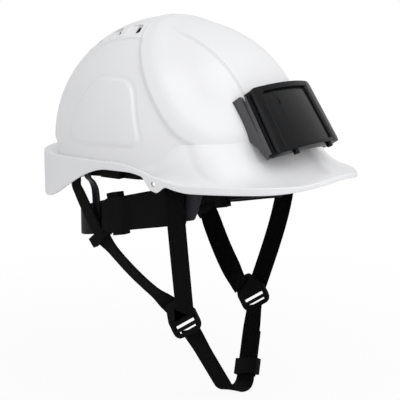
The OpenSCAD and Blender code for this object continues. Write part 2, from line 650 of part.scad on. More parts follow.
// Flexible arm from the ring's outer face down over the yoke's outer face
arm_t = 2;
arm_w = 9;
arm_a = 109;
module yoke_arm(side) color([0.2, 0.21, 0.25]) {
  top = oval(arm_a, ring_t + arm_t / 2 + 0.2);
  half = head_half - fit + arm_t / 2 + 0.12;
  rear = head_rear + yoke_t + arm_t / 2 + 0.12;
  y = top[1];
  x = -half * sqrt(1 - pow((y - straight_rear) / (rear - straight_rear), 2));
  path = [[top[0], top[1], 0], [top[0], top[1], -9.8], [x - 5.2, y, -15], [x - 1.8, y, -21], [x - 0.5, y, -28],
          [x - 0.1, y, -35], [x, y, -41], [x, y, -47.5]];
  ta = tangent(arm_a);
  lean = unit([(y - straight_rear) / pow(rear - straight_rear, 2) , -x / pow(half, 2), 0]);
  wide = [for (i = [0:7]) unit(mix([ta[0], ta[1], 0], lean, ss(1, 5, i)))];
  sided(side) strap(path, wide, arm_w, arm_t);
}

// Strap buckle: a shield plate with a bar between a wide and a narrow slot
buckle_t = 3.2;
slot_lean = atan2(0.54, 0.84);
module y_buckle(side) color([0.03, 0.03, 0.035]) {
  translate(flip(side, buckle_at))
    rotate([180 - slot_lean, 0, 0])
      rotate([90, 0, 90])
        translate([0, 0, -buckle_t / 2])
          difference() {
            linear_extrude(buckle_t) polygon(buckle_points());
            translate([0, 0, -1])
              linear_extrude(buckle_t + 2) {
                square([buckle_slot, 2.6], center = true);
                translate([0, 5.2]) square([buckle_slot - 2, 1.6], center = true);
              }
          }
}
function arc(cx, cy, r, a0, a1, n) = [for (i = [0:n]) let(a = mix(a0, a1, i / n)) [cx + r * cos(a), cy + r * sin(a)]];
function buckle_points() = let(half = buckle_slot / 2 + 4)
  concat(arc(half - 7, 3, 7, 0, 90, 4), arc(-half + 7, 3, 7, 90, 180, 4),
         [[-half, -7]], arc(-7, -17, 5, 200, 270, 3), arc(4, -18, 4, -90, -20, 3), [[half, -7]]);

// Lower strap: straight from the buckle to near the chin, then round under it
chin_low = [-17.5, -61.7, -196];
chin_run = unit([25.3, 9.9, 45]);
strap_flat = unit([0, -0.95, 0.2]);
chin_z = -203.2;
module chin_strap() color([0.05, 0.05, 0.05]) {
  rise = (chin_low[0] - (face_x + buckle_t / 2 + web_t / 2 + 1.25)) / chin_run[0];
  head = chin_low + [-chin_run[0], chin_run[1], chin_run[2]] * rise;
  n = 10;
  m = 9;
  half = concat([for (i = [0:n - 1]) mix(head, chin_low, i / n)],
    [for (i = [0:m]) bezier(chin_low, [-13.4, -63.3, -201.9], [-7, -66, chin_z], [0, -66, chin_z], i / m)]);
  turned = [for (i = [0:n + m])
    unit(i < n ? mix(slot_dir, strap_flat, ss(0, 4, i)) : mix(strap_flat, fore, ss(n, n + m, i)))];
  last = n + m;
  path = concat(half, [for (i = [last - 1:-1:0]) [-half[i][0], half[i][1], half[i][2]]]);
  wide = concat(turned, [for (i = [last - 1:-1:0]) turned[i]]);
  strap(path, wide, web_w, web_t);
}

// Slider block on the left lower strap, and the strap's loose end that runs up beside it
slide_from = [-chin_low[0], chin_low[1], chin_low[2]];
slide_dir = chin_run;
layer = web_t + fit;
flat_n = unit(cross(slide_dir, strap_flat));
slider_l = 14.5;
module strap_slider() color([0.02, 0.02, 0.02]) {
  mid = slide_from + flat_n * layer / 2;
  difference() {
    strap([mid, mid + slide_dir * slider_l], [strap_flat, strap_flat], web_w + 5, 6.6);
    strap([mid - slide_dir * 3, mid + slide_dir * (slider_l + 3)], [strap_flat, strap_flat], web_w + 2 * fit,
          2 * web_t + 4 * fit);
  }
}
tail_l = 42;
module strap_tail() color([0.05, 0.05, 0.05]) {
  path = [for (i = [0:4]) slide_from + flat_n * layer + slide_dir * (i * tail_l / 4 - 2)];
  strap(path, [for (p = path) strap_flat], web_w, web_t);
}

// Rounded outline in the cover's own plane: narrower at the top
top_narrow = 3.3;
function cover_outline(inset, r) =
  let(b = cover_w / 2 - inset, t = cover_w / 2 - top_narrow - inset, lo = inset, hi = cover_h - inset)
  concat(arc(b - r, lo + r, r, -90, 0, 4), arc(t - r, hi - r, r, 0, 90, 4),
         arc(-t + r, hi - r, r, 90, 180, 4), arc(-b + r, lo + r, r, 180, 270, 4));
module bowed(front, back) {
  translate([0, cover_r, -20])
    difference() {
      cylinder(r = cover_r - front, h = 120, $fn = 200);
      translate([0, 0, -1]) cylinder(r = cover_r - back, h = 122, $fn = 200);
    }
}
module slab(points, front, back) {
  intersection() {
    bowed(front, back);
    rotate([90, 0, 0]) translate([0, 0, -70]) linear_extrude(100) polygon(points);
  }
}
function window_outline(extra, r) =
  let(w = window_w / 2 + extra, lo = (cover_h - window_h) / 2 - 0.6 - extra, hi = lo + window_h + 2 * extra, in = 2)
  concat(arc(w - r, lo + r, r, -90, 0, 3), arc(w - in - r, hi - r, r, 0, 90, 3),
         arc(-w + in + r, hi - r, r, 90, 180, 3), arc(-w + r, lo + r, r, 180, 270, 3));
frame_t = 2;
corner_x = 42.2;
module badge_cover() color([0.06, 0.06, 0.07]) {
  holder_frame() {
    difference() {
      slab(cover_outline(0, 5), 0, cover_d);
      slab(cover_outline(2, 3), frame_t, cover_d + 5);
      slab(window_outline(0, 3), -5, frame_t + 5);
      // The top edge is cut back so that it swings clear of the shell
      slab([for (p = [[-1, -1], [1, -1], [1, 1], [-1, 1]]) [p[0] * corner_x, cover_h + p[1] * 4.5]],
           frame_t, 30);
      slab([for (p = [[-1, -1], [1, -1], [1, 1], [-1, 1]]) [p[0] * 60, cover_h + p[1] * 6.5]], cover_d - 1.5, 30);
      pin_bores(pin_r + 0.05);
    }
  }
}
window_t = 1.4;
module badge_window() color([0.15, 0.16, 0.18, 0.8]) {
  holder_frame() slab(window_outline(1.2, 3), frame_t + 0.1, frame_t + 0.1 + window_t);
}

// Hinge at the cover's top corners: pins fixed in the base's ears, cover turns on them
pin_r = 1.2;
pin_l = 5.7;
hinge_y = 9.8;
hinge_z = 55;
ear_r = 2.3;
ear_in = 38;
ear_out = 41.2;
module pin_bores(r) {
  translate([0, hinge_y, hinge_z]) rotate([0, 90, 0]) cylinder(r = r, h = 200, center = true, $fn = 24);
}
module hinge_pin(side) color("gray") {
  holder_frame()
    translate([side > 0 ? ear_in + 0.2 : -ear_in - 0.2 - pin_l, hinge_y, hinge_z])
      rotate([0, 90, 0]) cylinder(r = pin_r, h = pin_l, $fn = 24);
}
module cover_latch(side) color([0.03, 0.03, 0.03]) {
  holder_frame()
    translate([side * 26, 4.6, -1.9]) cube([5, 3.6, 3.8], center = true);
}

// Base: a tray behind the cover, two ears, rivet bosses and side cheeks back to the shell
module badge_base() color([0.16, 0.16, 0.18]) {
  back = cover_d + tray_gap + tray_t;
  tray_top = 49;
  difference() {
    union() {
      holder_frame() {
        intersection() {
          slab(cover_outline(0.6, 5), cover_d + tray_gap, back);
          translate([-60, -5, -5]) cube([120, 60, tray_top + 5]);
        }
        for (side = [-1, 1]) {
          translate([side > 0 ? ear_in : -ear_out, hinge_y, hinge_z])
            rotate([0, 90, 0]) cylinder(r = ear_r, h = ear_out - ear_in, $fn = 24);
          translate([side > 0 ? ear_in : -ear_out, hinge_y, tray_top - 4])
            cube([ear_out - ear_in, 6, hinge_z + ear_r - tray_top + 4]);
          translate([side * rivet_x, back + 0.3, rivet_z])
            rotate([-90, 0, 0]) cylinder(r = boss_r, h = boss_end - back - 0.3, $fn = 32);
        }
      }
      for (side = [-1, 1]) cheek(side);
      // Rail down each side, between the cover's back edge and the cheek
      holder_frame()
        for (side = [-1, 1])
          translate([side > 0 ? rail_x : -rail_x - rail_w, rail_y, 2]) cube([rail_w, rail_d, 54]);
    }
    rivet_bores(rivet_r);
    holder_frame() pin_bores(pin_r);
  }
}
// Outer face of the dome with its relief, at a side offset and height
function front_y(x, z) = let(y = dome_y(x, z)) y - relief([x, y, z], true) * 0.9;
cheek_t = 2.8;
rail_x = 42.9;
rail_w = 3.6;
rail_y = 16.6;
rail_d = 3.2;
cheek_x = 42.4;
module cheek(side) {
  steps = 5;
  low_z = 38;
  high_z = 58.5;
  front = [for (q = [[17.8, 57], [17.8, 1.2], [20.8, 1.2], [23, 9], [23.2, 12.6], [26.8, 21]]) holder_pt(0, q[0], q[1])];
  back = [for (i = [0:steps]) let(z = mix(low_z, high_z, i / steps)) [front_y(cheek_x, z) - 0.25, z]];
  translate([side > 0 ? cheek_x : -cheek_x - cheek_t, 0, 0])
    rotate([90, 0, 90])
      linear_extrude(cheek_t) polygon(concat(back, [for (q = front) [q[1], q[2]]]));
}
module holder_rivet(side) color("dimgray") {
  holder_frame()
    translate([side * rivet_x, cover_d + 1.3, rivet_z])
      rotate([-90, 0, 0]) {
        cylinder(r = rivet_r, h = boss_end - cover_d + 5, $fn = 24);
        translate([0, 0, -1.2]) cylinder(r = rivet_r + 1.4, h = 1.2, $fn = 24);
      }
}

shell();
cradle_ring();
hanger(front_a, front_top_z, strap_top);  // hanger_front_right
hanger(-front_a, front_top_z, [-strap_top[0], strap_top[1]]);  // hanger_front_left
hanger(ear_a, ear_top_z);  // hanger_ear_right
hanger(-ear_a, ear_top_z);  // hanger_ear_left
hanger(rear_a, rear_top_z, rear_top);  // hanger_rear_right
hanger(-rear_a, rear_top_z, [-rear_top[0], rear_top[1]]);  // hanger_rear_left
cradle_strap(ear_a, -ear_a, ear_top_z, ear_top_z, cradle_h);  // cradle_strap_cross
cradle_strap(front_a, -rear_a, front_top_z, rear_top_z, cradle_h - 5);  // cradle_strap_front_right
cradle_strap(-front_a, rear_a, front_top_z, rear_top_z, cradle_h + 6);  // cradle_strap_front_left
headband();
sweatband();
side_band(-1);  // side_band_right
side_band(1);  // side_band_left
size_keeper(-1);  // size_keeper_right
size_keeper(1);  // size_keeper_left
nape_yoke();
nape_pad();
yoke_arm(-1);  // yoke_arm_right
yoke_arm(1);  // yoke_arm_left
strap_guide(-1);  // strap_guide_right
strap_guide(1);  // strap_guide_left
front_strap(-1);  // front_strap_right
front_strap(1);  // front_strap_left
rear_strap_upper(-1);  // rear_strap_upper_right
rear_strap_upper(1);  // rear_strap_upper_left
rear_strap_lower(-1);  // rear_strap_lower_right
rear_strap_lower(1);  // rear_strap_lower_left
y_buckle(-1);  // y_buckle_right
y_buckle(1);  // y_buckle_left
chin_strap();
strap_slider();
strap_tail();
badge_base();
badge_cover();
badge_window();
cover_latch(-1);  // cover_latch_right
cover_latch(1);  // cover_latch_left
hinge_pin(-1);  // hinge_pin_right
hinge_pin(1);  // hinge_pin_left
holder_rivet(-1);  // holder_rivet_right
holder_rivet(1);  // holder_rivet_left
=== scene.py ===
"""Looks of a vented safety helmet with a hinged badge holder and a Y-shaped chin harness.

Every length in this file is in millimetres and is turned into metres when a mesh is made.
The peak points along -Y, the wearer's right is -X and the crown is along +Z, as in the frame.
"""

import json
import math

import bmesh
import bpy
import numpy as np
from mathutils import Matrix, Vector


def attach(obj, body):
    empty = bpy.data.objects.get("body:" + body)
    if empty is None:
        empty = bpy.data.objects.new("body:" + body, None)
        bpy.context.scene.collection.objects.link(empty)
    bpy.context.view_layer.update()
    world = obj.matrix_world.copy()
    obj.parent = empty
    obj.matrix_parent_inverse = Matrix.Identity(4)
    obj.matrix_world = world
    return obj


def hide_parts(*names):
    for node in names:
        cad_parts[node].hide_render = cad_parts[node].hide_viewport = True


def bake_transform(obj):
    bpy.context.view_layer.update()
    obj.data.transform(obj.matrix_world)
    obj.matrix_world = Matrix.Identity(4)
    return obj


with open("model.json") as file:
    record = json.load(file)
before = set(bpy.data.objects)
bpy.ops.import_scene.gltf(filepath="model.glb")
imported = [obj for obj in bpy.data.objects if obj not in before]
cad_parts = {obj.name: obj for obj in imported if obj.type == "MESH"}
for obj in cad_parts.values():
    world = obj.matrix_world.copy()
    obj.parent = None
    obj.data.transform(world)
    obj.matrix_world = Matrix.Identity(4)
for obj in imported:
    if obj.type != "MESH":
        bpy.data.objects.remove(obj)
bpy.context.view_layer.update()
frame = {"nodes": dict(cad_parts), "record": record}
BODY_OF = {node: body for body, members in frame["record"]["behaviour"]["bodies"].items() for node in members}

MM = 0.001
RIGHT, LEFT = -1, 1

# Shape helpers


def smooth(a, b, v):
    """Cubic step: 0 up to a, 1 from b, and 3t^2 - 2t^3 of the share t between them."""
    t = np.clip((np.asarray(v, float) - a) / (b - a), 0, 1)
    return t * t * (3 - 2 * t)


def mix(a, b, t):
    """Straight mix of a and b: a at 0 and b at 1."""
    return a + (b - a) * t


def blend_min(a, b, k):
    """Smaller of a and b with a rounded corner: the straight mix less k times t(1 - t)."""
    t = np.clip(0.5 + 0.5 * (b - a) / k, 0, 1)
    return mix(b, a, t) - k * t * (1 - t)


def unit(v):
    """Vectors scaled to length one."""
    v = np.asarray(v, float)
    return v / np.maximum(np.linalg.norm(v, axis=-1, keepdims=True), 1e-12)


def stack(*parts):
    """Three arrays joined into points."""
    return np.stack(np.broadcast_arrays(*[np.asarray(p, float) for p in parts]), axis=-1)


def through(points, count):
    """Catmull-Rom curve through the points, sampled at equal steps of its length."""
    p = np.asarray(points, float)
    p = np.vstack([2 * p[0] - p[1], p, 2 * p[-1] - p[-2]])
    t = np.linspace(0, 1, 24, endpoint=False)[:, None, None]
    a, b, c, d = p[None, :-3], p[None, 1:-2], p[None, 2:-1], p[None, 3:]
    curve = 0.5 * (2 * b + (c - a) * t + (2 * a - 5 * b + 4 * c - d) * t**2 + (3 * b - a - 3 * c + d) * t**3)
    curve = np.vstack([curve.transpose(1, 0, 2).reshape(-1, p.shape[1]), p[-2]])
    along = np.concatenate([[0], np.cumsum(np.linalg.norm(np.diff(curve[:, :3], axis=0), axis=1))])
    want = np.linspace(0, along[-1], count)
    return np.stack([np.interp(want, along, curve[:, i]) for i in range(curve.shape[1])], axis=1)


def mesh_object(name, points, faces, uv=None, angle=35):
    """Mesh object from points in millimetres and faces, smooth below the angle, with an optional UV per point."""
    mesh = bpy.data.meshes.new(name)
    mesh.from_pydata((np.asarray(points, float) * MM).tolist(), [], [list(map(int, f)) for f in faces])
    if uv is not None:
        layer = mesh.uv_layers.new(name="UVMap")
        corner = np.zeros(len(mesh.loops), np.int32)
        mesh.loops.foreach_get("vertex_index", corner)
        layer.data.foreach_set("uv", np.asarray(uv, np.float32)[corner].ravel())
    mesh.validate()
    obj = bpy.data.objects.new(name, mesh)
    bpy.context.scene.collection.objects.link(obj)
    shade(obj, angle)
    return obj


def shade(obj, angle=35):
    """Smooth faces, with the edges sharper than the angle kept sharp."""
    mesh = obj.data
    mesh.polygons.foreach_set("use_smooth", np.ones(len(mesh.polygons), bool))
    mesh.set_sharp_from_angle(angle=math.radians(angle))
    mesh.update()


def face_outwards(obj):
    """Merges doubles and turns every face outwards."""
    bm = bmesh.new()
    bm.from_mesh(obj.data)
    bmesh.ops.remove_doubles(bm, verts=bm.verts, dist=1e-7)
    bmesh.ops.recalc_face_normals(bm, faces=bm.faces)
    bm.to_mesh(obj.data)
    bm.free()


def grid_faces(rows, columns, wrap_rows=False, wrap_columns=True):
    """Quads of a grid of points kept row by row, wrapped round in either direction."""
    r = np.arange(rows if wrap_rows else rows - 1)
    c = np.arange(columns if wrap_columns else columns - 1)
    r, c = np.meshgrid(r, c, indexing="ij")
    r2, c2 = (r + 1) % rows, (c + 1) % columns
    return np.stack([r * columns + c, r * columns + c2, r2 * columns + c2, r2 * columns + c], axis=-1).reshape(-1, 4)


def skin(name, sections, loop=False, uv=None, angle=40):
    """Closed skin over a run of sections, which ends in two flat faces where it isn't a loop."""
    count, columns = sections.shape[:2]
    faces = grid_faces(count, columns, wrap_rows=loop).tolist()
    if not loop:
        faces += [list(range(columns))[::-1], [(count - 1) * columns + i for i in range(columns)]]
    obj = mesh_object(name, sections.reshape(-1, 3), faces, uv, angle)
    face_outwards(obj)
    shade(obj, angle)
    return obj


def applied(obj):
    """The object with its modifiers applied to its mesh."""
    graph = bpy.context.evaluated_depsgraph_get()
    graph.update()
    mesh = bpy.data.meshes.new_from_object(obj.evaluated_get(graph))
    obj.modifiers.clear()
    old = obj.data
    obj.data = mesh
    mesh.name = obj.name
    bpy.data.meshes.remove(old)
    return obj


def cut(obj, cutters, angle):
    """Takes closed cutters away from a closed piece, with the empty material slot that they leave, and shades it."""
    for cutter in cutters:
        step = obj.modifiers.new("cut", "BOOLEAN")
        step.operation = "DIFFERENCE"
        step.solver = "MANIFOLD"
        step.object = cutter
    applied(obj)
    for cutter in cutters:
        mesh = cutter.data
        bpy.data.objects.remove(cutter)
        bpy.data.meshes.remove(mesh)
    while len(obj.data.materials) > 1:
        obj.data.materials.pop()
    shade(obj, angle)
    return obj


# The shell's form

DOME_W, DOME_FRONT, DOME_REAR, DOME_H, FOOT_Z = 210.0, 116.0, 104.5, 108.0, 15.0
WALL, PEAK_L, FLARE_SIDE, FLARE_REAR, NAPE_DROP = 3.0, 51.0, 4.0, 18.0, 31.5
PLAN_N, RISE_P, RISE_Q, CROWN_BACK = 2.18, 2.04, 1.97, 3.8
BRIM_Z, ARCH_Z, TIP_Z, LIP_MIN, EDGE_ROUND, PEAK_JOIN = -11.1, 2.6, -4.6, 4.2, 1.1, 26.0
GUTTER_Z, GUTTER_RISE, GUTTER_FALL, GUTTER_DIP = -4.6, 14.1, 3.0, 0.7
RIB_SLOPE, RIB_Y, RIB_HALF, RIB_BACK, RIB_RISE, RIB_SPREAD = 0.8, 98.0, 4.3, 4.5, 2.4, 8.0
RIDGE_HALF, RIDGE_EDGE, SHALLOW_SHARE, SHALLOW_REACH = 37.0, 1.1, 0.55, 24.0
PANEL_LOW, PANEL_DEEP, PANEL_RUN, PANEL_CORNER = 30.0, 4.2, 20.0, 24.0
BAND_RISE, BAND_EDGE_X, BAND_SPREAD, BAND_TOP_Z, BAND_EDGE = 1.5, 57.0, 0.4, 98.0, 0.9
PAD_TOP, PAD_FOOT, PAD_MID_Y, PAD_HALF, PAD_ARCH = 74.0, 23.0, 2.0, 38.0, 6.0
PAD_FRONT, PAD_FRONT_LEAN, PAD_FRONT_Z = 20.0, 0.35, 73.0
PAD_REAR, PAD_REAR_LEAN, PAD_REAR_Z = 24.0, 0.33, 72.0
PAD_RISE, PAD_EDGE, PAD_GROOVE, PAD_GROOVE_AT, PAD_GROOVE_HALF = 1.2, 0.8, 0.5, 2.2, 1.1
LUG_Y, LUG_Z, LUG_HALF, LUG_DROP, LUG_HOLE_R = 54.0, -5.2, 11.5, 8.0, 2.1
VENT_X, VENT_PITCH, VENT_FIRST_Y, VENT_COUNT = 46.5, 20.5, 12.5, 3
RAMP_L, RAMP_DEEP, RAMP_END = 18.0, 3.4, 0.3
# Runs over which a form fades in or out: the rib's back step, front end and foot, the band's front and foot, the pad
RIB_STEP, RIB_END, RIB_FOOT = (-RIB_BACK - 3.4, -RIB_BACK - 0.6), (80, 104), (12, 26)
BAND_FRONT, BAND_FOOT, PAD_SIDE = (4, 9), (FOOT_Z, FOOT_Z + 6), (70, 84)
PAD_CORNER, PAD_BLEND = 9, 12
# Runs of the rim: its arch at the ear, its drop at the nape, the tip's width and length, a lug's flank
ARCH_RUN, NAPE_RUN, TIP_WIDTH, TIP_RUN, LUG_FLANK = (-86, -27), (-9.5, 85), (0, 72), (90, 150), (0.15, 1)
GUTTER_UP, GUTTER_DOWN, PEAK_SIDES = (-83.5, -17.5), (10, 120), (0.28, 0.62)
# Shares of the gutter ledge: its flat part, where it climbs and over how much, and where its dip begins and ends
LEDGE_FLAT, LEDGE_CLIMB, LEDGE_REST, DIP_IN, DIP_OUT = 0.6, 0.66, 0.34, (0.3, 0.55), (0.62, 0.75)
# The peak's curve: how far its first control point lies in, its swell, and its root's drop, ceiling and spread
PEAK_IN, PEAK_SWELL, ROOT_DROP, ROOT_TOP, ROOT_MIDDLE, ROOT_SIDE, ROOT_RUN = 0.58, 4.0, 5, 10, 3, 9, (30, 60)
# Rows of the shell's skin: outer dome, outer ledge, inner ledge and inner dome
DOME_ROWS, LEDGE_ROWS, INNER_LEDGE_ROWS, INNER_ROWS = 122, 24, 14, 22
# Corners of a louvre and of its open throat, from its middle towards the crown and towards the rear
LOUVRE, LOUVRE_R = [[-10.3, 5.5], [10.2, 8.6], [9.6, -4.6], [-5.6, -9.4]], 2.2
THROAT, THROAT_R = [[8.9, -4.9], [-5.4, -9.2], [-6.6, -3.2], [8.9, 1.2]], 1.4


def reach(th):
    """Superellipse reach at a plan angle: (|cos|^n + |sin|^n)^(-1/n)."""
    return (np.abs(np.cos(th)) ** PLAN_N + np.abs(np.sin(th)) ** PLAN_N) ** (-1 / PLAN_N)


def girth(h):
    """Share of the dome's plan left at a share of its height: (1 - h^p)^(1/q)."""
    return np.maximum(0, 1 - np.maximum(h, 0) ** RISE_P) ** (1 / RISE_Q)


def dome_z(x, y):
    """Height of the smooth dome over a plan point."""
    ext = np.where(np.asarray(y) < 0, DOME_FRONT, DOME_REAR)
    g = (np.abs(x / (DOME_W / 2)) ** PLAN_N + np.abs(y / ext) ** PLAN_N) ** (1 / PLAN_N)
    return FOOT_Z + DOME_H * np.maximum(0, 1 - np.minimum(1, g) ** RISE_Q) ** (1 / RISE_P)


def pad_inside(y, z):
    """Depth inside the raised side pad: a shield of an arched top, two leaning sides and a flat foot."""
    top = PAD_TOP - z - PAD_ARCH * ((y - PAD_MID_Y) / PAD_HALF) ** 2
    front = y + PAD_FRONT + PAD_FRONT_LEAN * (PAD_FRONT_Z - z)
    rear = PAD_REAR + PAD_REAR_LEAN * (PAD_REAR_Z - z) - y
    return blend_min(blend_min(top, z - PAD_FOOT, PAD_CORNER), blend_min(front, rear, PAD_CORNER), PAD_BLEND)


def relief(p, fine):
    """Outward relief along the dome's normal: the sum of four parts.

    Rib: its rise times exp(-(a / spread)^2), a being the distance ahead of its crest, with a cubic step behind it.
    Panel: sunk by a cubic step ahead of the rib and beside the centre ridge, less by the ridge than further out.
    Band: raised behind the rib, between two edges that spread apart downwards.
    Pad: the raised shield at the ear, with a groove round its outline.
    """
    ax, y, z = np.abs(p[..., 0]), p[..., 1], p[..., 2]
    behind = (y - RIB_SLOPE * z + RIB_Y) / math.hypot(1, RIB_SLOPE)
    ahead = blend_min(-behind - RIB_HALF, z - PANEL_LOW, PANEL_CORNER)
    sunk = PANEL_DEEP * smooth(0, PANEL_RUN, ahead) * smooth(RIDGE_HALF - RIDGE_EDGE, RIDGE_HALF + RIDGE_EDGE, ax)
    sunk = sunk * (1 - SHALLOW_SHARE * np.exp(-(((ax - RIDGE_HALF) / SHALLOW_REACH) ** 2)))
    a = ahead + RIB_HALF
    rib = RIB_RISE * np.exp(-((np.maximum(a, 0) / RIB_SPREAD) ** 2)) * smooth(*RIB_STEP, a)
    rib = rib * (1 - smooth(*RIB_END, -y)) * smooth(*RIB_FOOT, z)
    edge = BAND_EDGE_X + BAND_SPREAD * np.maximum(0, BAND_TOP_Z - z)
    band = BAND_RISE * (1 - smooth(edge - BAND_EDGE, edge + BAND_EDGE, ax))
    band = band * smooth(*BAND_FRONT, behind) * smooth(*BAND_FOOT, z)
    pad = 0
    if fine:
        inside = pad_inside(y, z)
        groove = PAD_GROOVE * np.exp(-(((inside + PAD_GROOVE_AT) / PAD_GROOVE_HALF) ** 2))
        pad = (PAD_RISE * smooth(-PAD_EDGE, PAD_EDGE, inside) - groove) * smooth(*PAD_SIDE, ax)
    return rib - sunk + band + pad


def dome_point(th, h, inset, fine):
    """Dome point at a plan angle and share of height, moved in by the wall and out by the relief along its normal."""
    up = np.maximum(h, 0)
    m, c, s = reach(th) * girth(h), np.cos(th), np.sin(th)
    ext = np.where(c > 0, DOME_FRONT, DOME_REAR)
    base = stack(DOME_W / 2 * m * s, CROWN_BACK * up - ext * m * c, FOOT_Z + DOME_H * h)
    p = stack((DOME_W / 2 - inset) * m * s, CROWN_BACK * up - (ext - inset) * m * c, FOOT_Z + (DOME_H - inset) * h)
    n = stack(base[..., 0] / (DOME_W / 2) ** 2, (base[..., 1] - CROWN_BACK * up) / ext**2,
              np.maximum(0, DOME_H * h) / DOME_H**2 + 1e-4)
    return p + unit(n) * relief(base, fine)[..., None]


def edge_xy(th, inset):
    """Plan of the rim's outer edge, moved in."""
    ext = np.where(np.cos(th) > 0, DOME_FRONT + PEAK_L, DOME_REAR + FLARE_REAR)
    return ((DOME_W / 2 + FLARE_SIDE - inset) * reach(th) * np.sin(th), -(ext - inset) * reach(th) * np.cos(th))


def rim_z(x, y):
    """Lower edge of the rim: low at the nape, arched at the ear, level along the peak and lifted at its tip."""
    return (BRIM_Z + (ARCH_Z - BRIM_Z) * smooth(*ARCH_RUN, y) - (NAPE_DROP + ARCH_Z) * smooth(*NAPE_RUN, y)
            + (TIP_Z - BRIM_Z) * (1 - smooth(*TIP_WIDTH, np.abs(x))) * smooth(*TIP_RUN, -y)
            - LUG_DROP * (1 - smooth(*LUG_FLANK, np.abs(y + LUG_Y) / LUG_HALF)))


def lip_z(x, y):
    """Top of the rim, where the gutter runs."""
    gutter = GUTTER_Z + GUTTER_RISE * smooth(*GUTTER_UP, y) - GUTTER_FALL * smooth(*GUTTER_DOWN, y)
    return np.maximum(rim_z(x, y) + LIP_MIN, gutter)


def front_share(th):
    """1 where the peak is, 0 beside and behind."""
    return smooth(*PEAK_SIDES, reach(th) * np.cos(th))


def start_h(th, lip):
    """Share of the dome's height at which the dome leaves the gutter or the peak."""
    return (mix(lip + 4, PEAK_JOIN, front_share(th)) - FOOT_Z) / DOME_H


def bezier(a, b, c, d, t):
    """Cubic curve of four control points."""
    return a * (1 - t) ** 3 + b * 3 * t * (1 - t) ** 2 + c * 3 * t * t * (1 - t) + d * t**3


def ledge_point(th, u, inset):
    """Gutter ledge beside and behind, peak and its root in front, mixed by the share of the front.

    The peak is a cubic curve from the rim to the dome. The ledge runs level to the dome, then climbs it.
    """
    lip = lip_z(*edge_xy(th, 0))
    ex, ey = edge_xy(th, inset + EDGE_ROUND)
    a = stack(ex, ey, lip - inset)
    d = dome_point(th, start_h(th, lip), inset, False)
    out = stack(np.sin(th), -np.cos(th), 0)
    spread = (ROOT_MIDDLE + ROOT_SIDE * smooth(*ROOT_RUN, np.abs(d[..., 0])))[..., None]
    b = mix(a, stack(d[..., 0], d[..., 1], a[..., 2]), PEAK_IN) + np.array([0, 0, PEAK_SWELL])
    c = stack(d[..., 0], d[..., 1], np.minimum(d[..., 2] - ROOT_DROP, ROOT_TOP - inset)) + out * spread
    front = bezier(a, b, c, d, u[..., None])
    side_xy = mix(a[..., :2], d[..., :2], np.minimum(1, u / LEDGE_FLAT)[..., None])
    dip = GUTTER_DIP * smooth(*DIP_IN, u) * (1 - smooth(*DIP_OUT, u)) * (inset == 0)
    side_z = mix(lip - inset - dip, d[..., 2], np.clip((u - LEDGE_CLIMB) / LEDGE_REST, 0, 1))
    side = stack(side_xy[..., 0], side_xy[..., 1], side_z)
    return mix(side, front, front_share(th)[..., None])


def plan_angles():
    """Plan angles in radians, closer together beside the lugs, for the wearer's left and then mirrored."""
    half = np.concatenate([np.linspace(0, 60, 76, endpoint=False), np.linspace(60, 88, 66, endpoint=False),
                           np.linspace(88, 180, 98, endpoint=False)])
    return np.radians(np.concatenate([half, 360 - np.concatenate([half[1:], [180.0]])[::-1]]))


def shell_rows():
    """Rows of the shell's skin from the outer crown down to the rim, round it and up the inside."""
    th = plan_angles()
    ex, ey = edge_xy(th, 0)
    low, top = rim_z(ex, ey), lip_z(ex, ey)
    outer_start = np.arcsin(start_h(th, top))

    def dome_row(share, inset, fine):
        return dome_point(th, np.sin(mix(outer_start, math.pi / 2, share)), inset, fine)

    def lip_row(inset, z):
        x, y = edge_xy(th, inset)
        return stack(x, y, z)

    rows = [dome_row(s, 0, True) for s in np.linspace(0.992, 0, DOME_ROWS, endpoint=False)]
    rows += [ledge_point(th, np.full_like(th, u), 0) for u in np.linspace(1, 0, LEDGE_ROWS, endpoint=False)]
    bend = np.radians([0, 22.5, 45, 67.5, 90])
    rows += [lip_row(EDGE_ROUND * (1 - math.sin(b)), top - EDGE_ROUND * (1 - math.cos(b))) for b in bend]
    rows += [lip_row(0, mix(top - EDGE_ROUND, low + EDGE_ROUND, s)) for s in (0.33, 0.66)]
    rows += [lip_row(EDGE_ROUND * (1 - math.cos(b)), low + EDGE_ROUND * (1 - math.sin(b))) for b in bend]
    rows += [lip_row(WALL - 0.6, low), lip_row(WALL - 0.15, low + 0.3), lip_row(WALL, low + EDGE_ROUND)]
    rows += [ledge_point(th, np.full_like(th, u), WALL) for u in np.linspace(0, 1, INNER_LEDGE_ROWS, endpoint=False)]
    rows += [dome_row(s, WALL, False) for s in np.linspace(0, 0.99, INNER_ROWS)]
    return np.stack(rows)


def turned(axis, degrees):
    """Rotation matrix about a main axis."""
    c, s = math.cos(math.radians(degrees)), math.sin(math.radians(degrees))
    i, j = {"x": (1, 2), "y": (2, 0), "z": (0, 1)}[axis]
    m = np.eye(3)
    m[i, i] = m[j, j] = c
    m[i, j], m[j, i] = -s, s
    return m


def prism(name, outline, low, high, at, turn):
    """Closed prism of a plan outline between two heights, turned by a rotation matrix and moved to a point."""
    ring = np.hstack([np.asarray(outline, float)[:, :2], np.zeros((len(outline), 1))])
    points = np.vstack([ring + [0, 0, low], ring + [0, 0, high]])
    n = len(ring)
    faces = [list(range(n))[::-1], [n + i for i in range(n)]]
    faces += [[i, (i + 1) % n, n + (i + 1) % n, n + i] for i in range(n)]
    return mesh_object(name, points @ np.asarray(turn).T + np.asarray(at), faces)


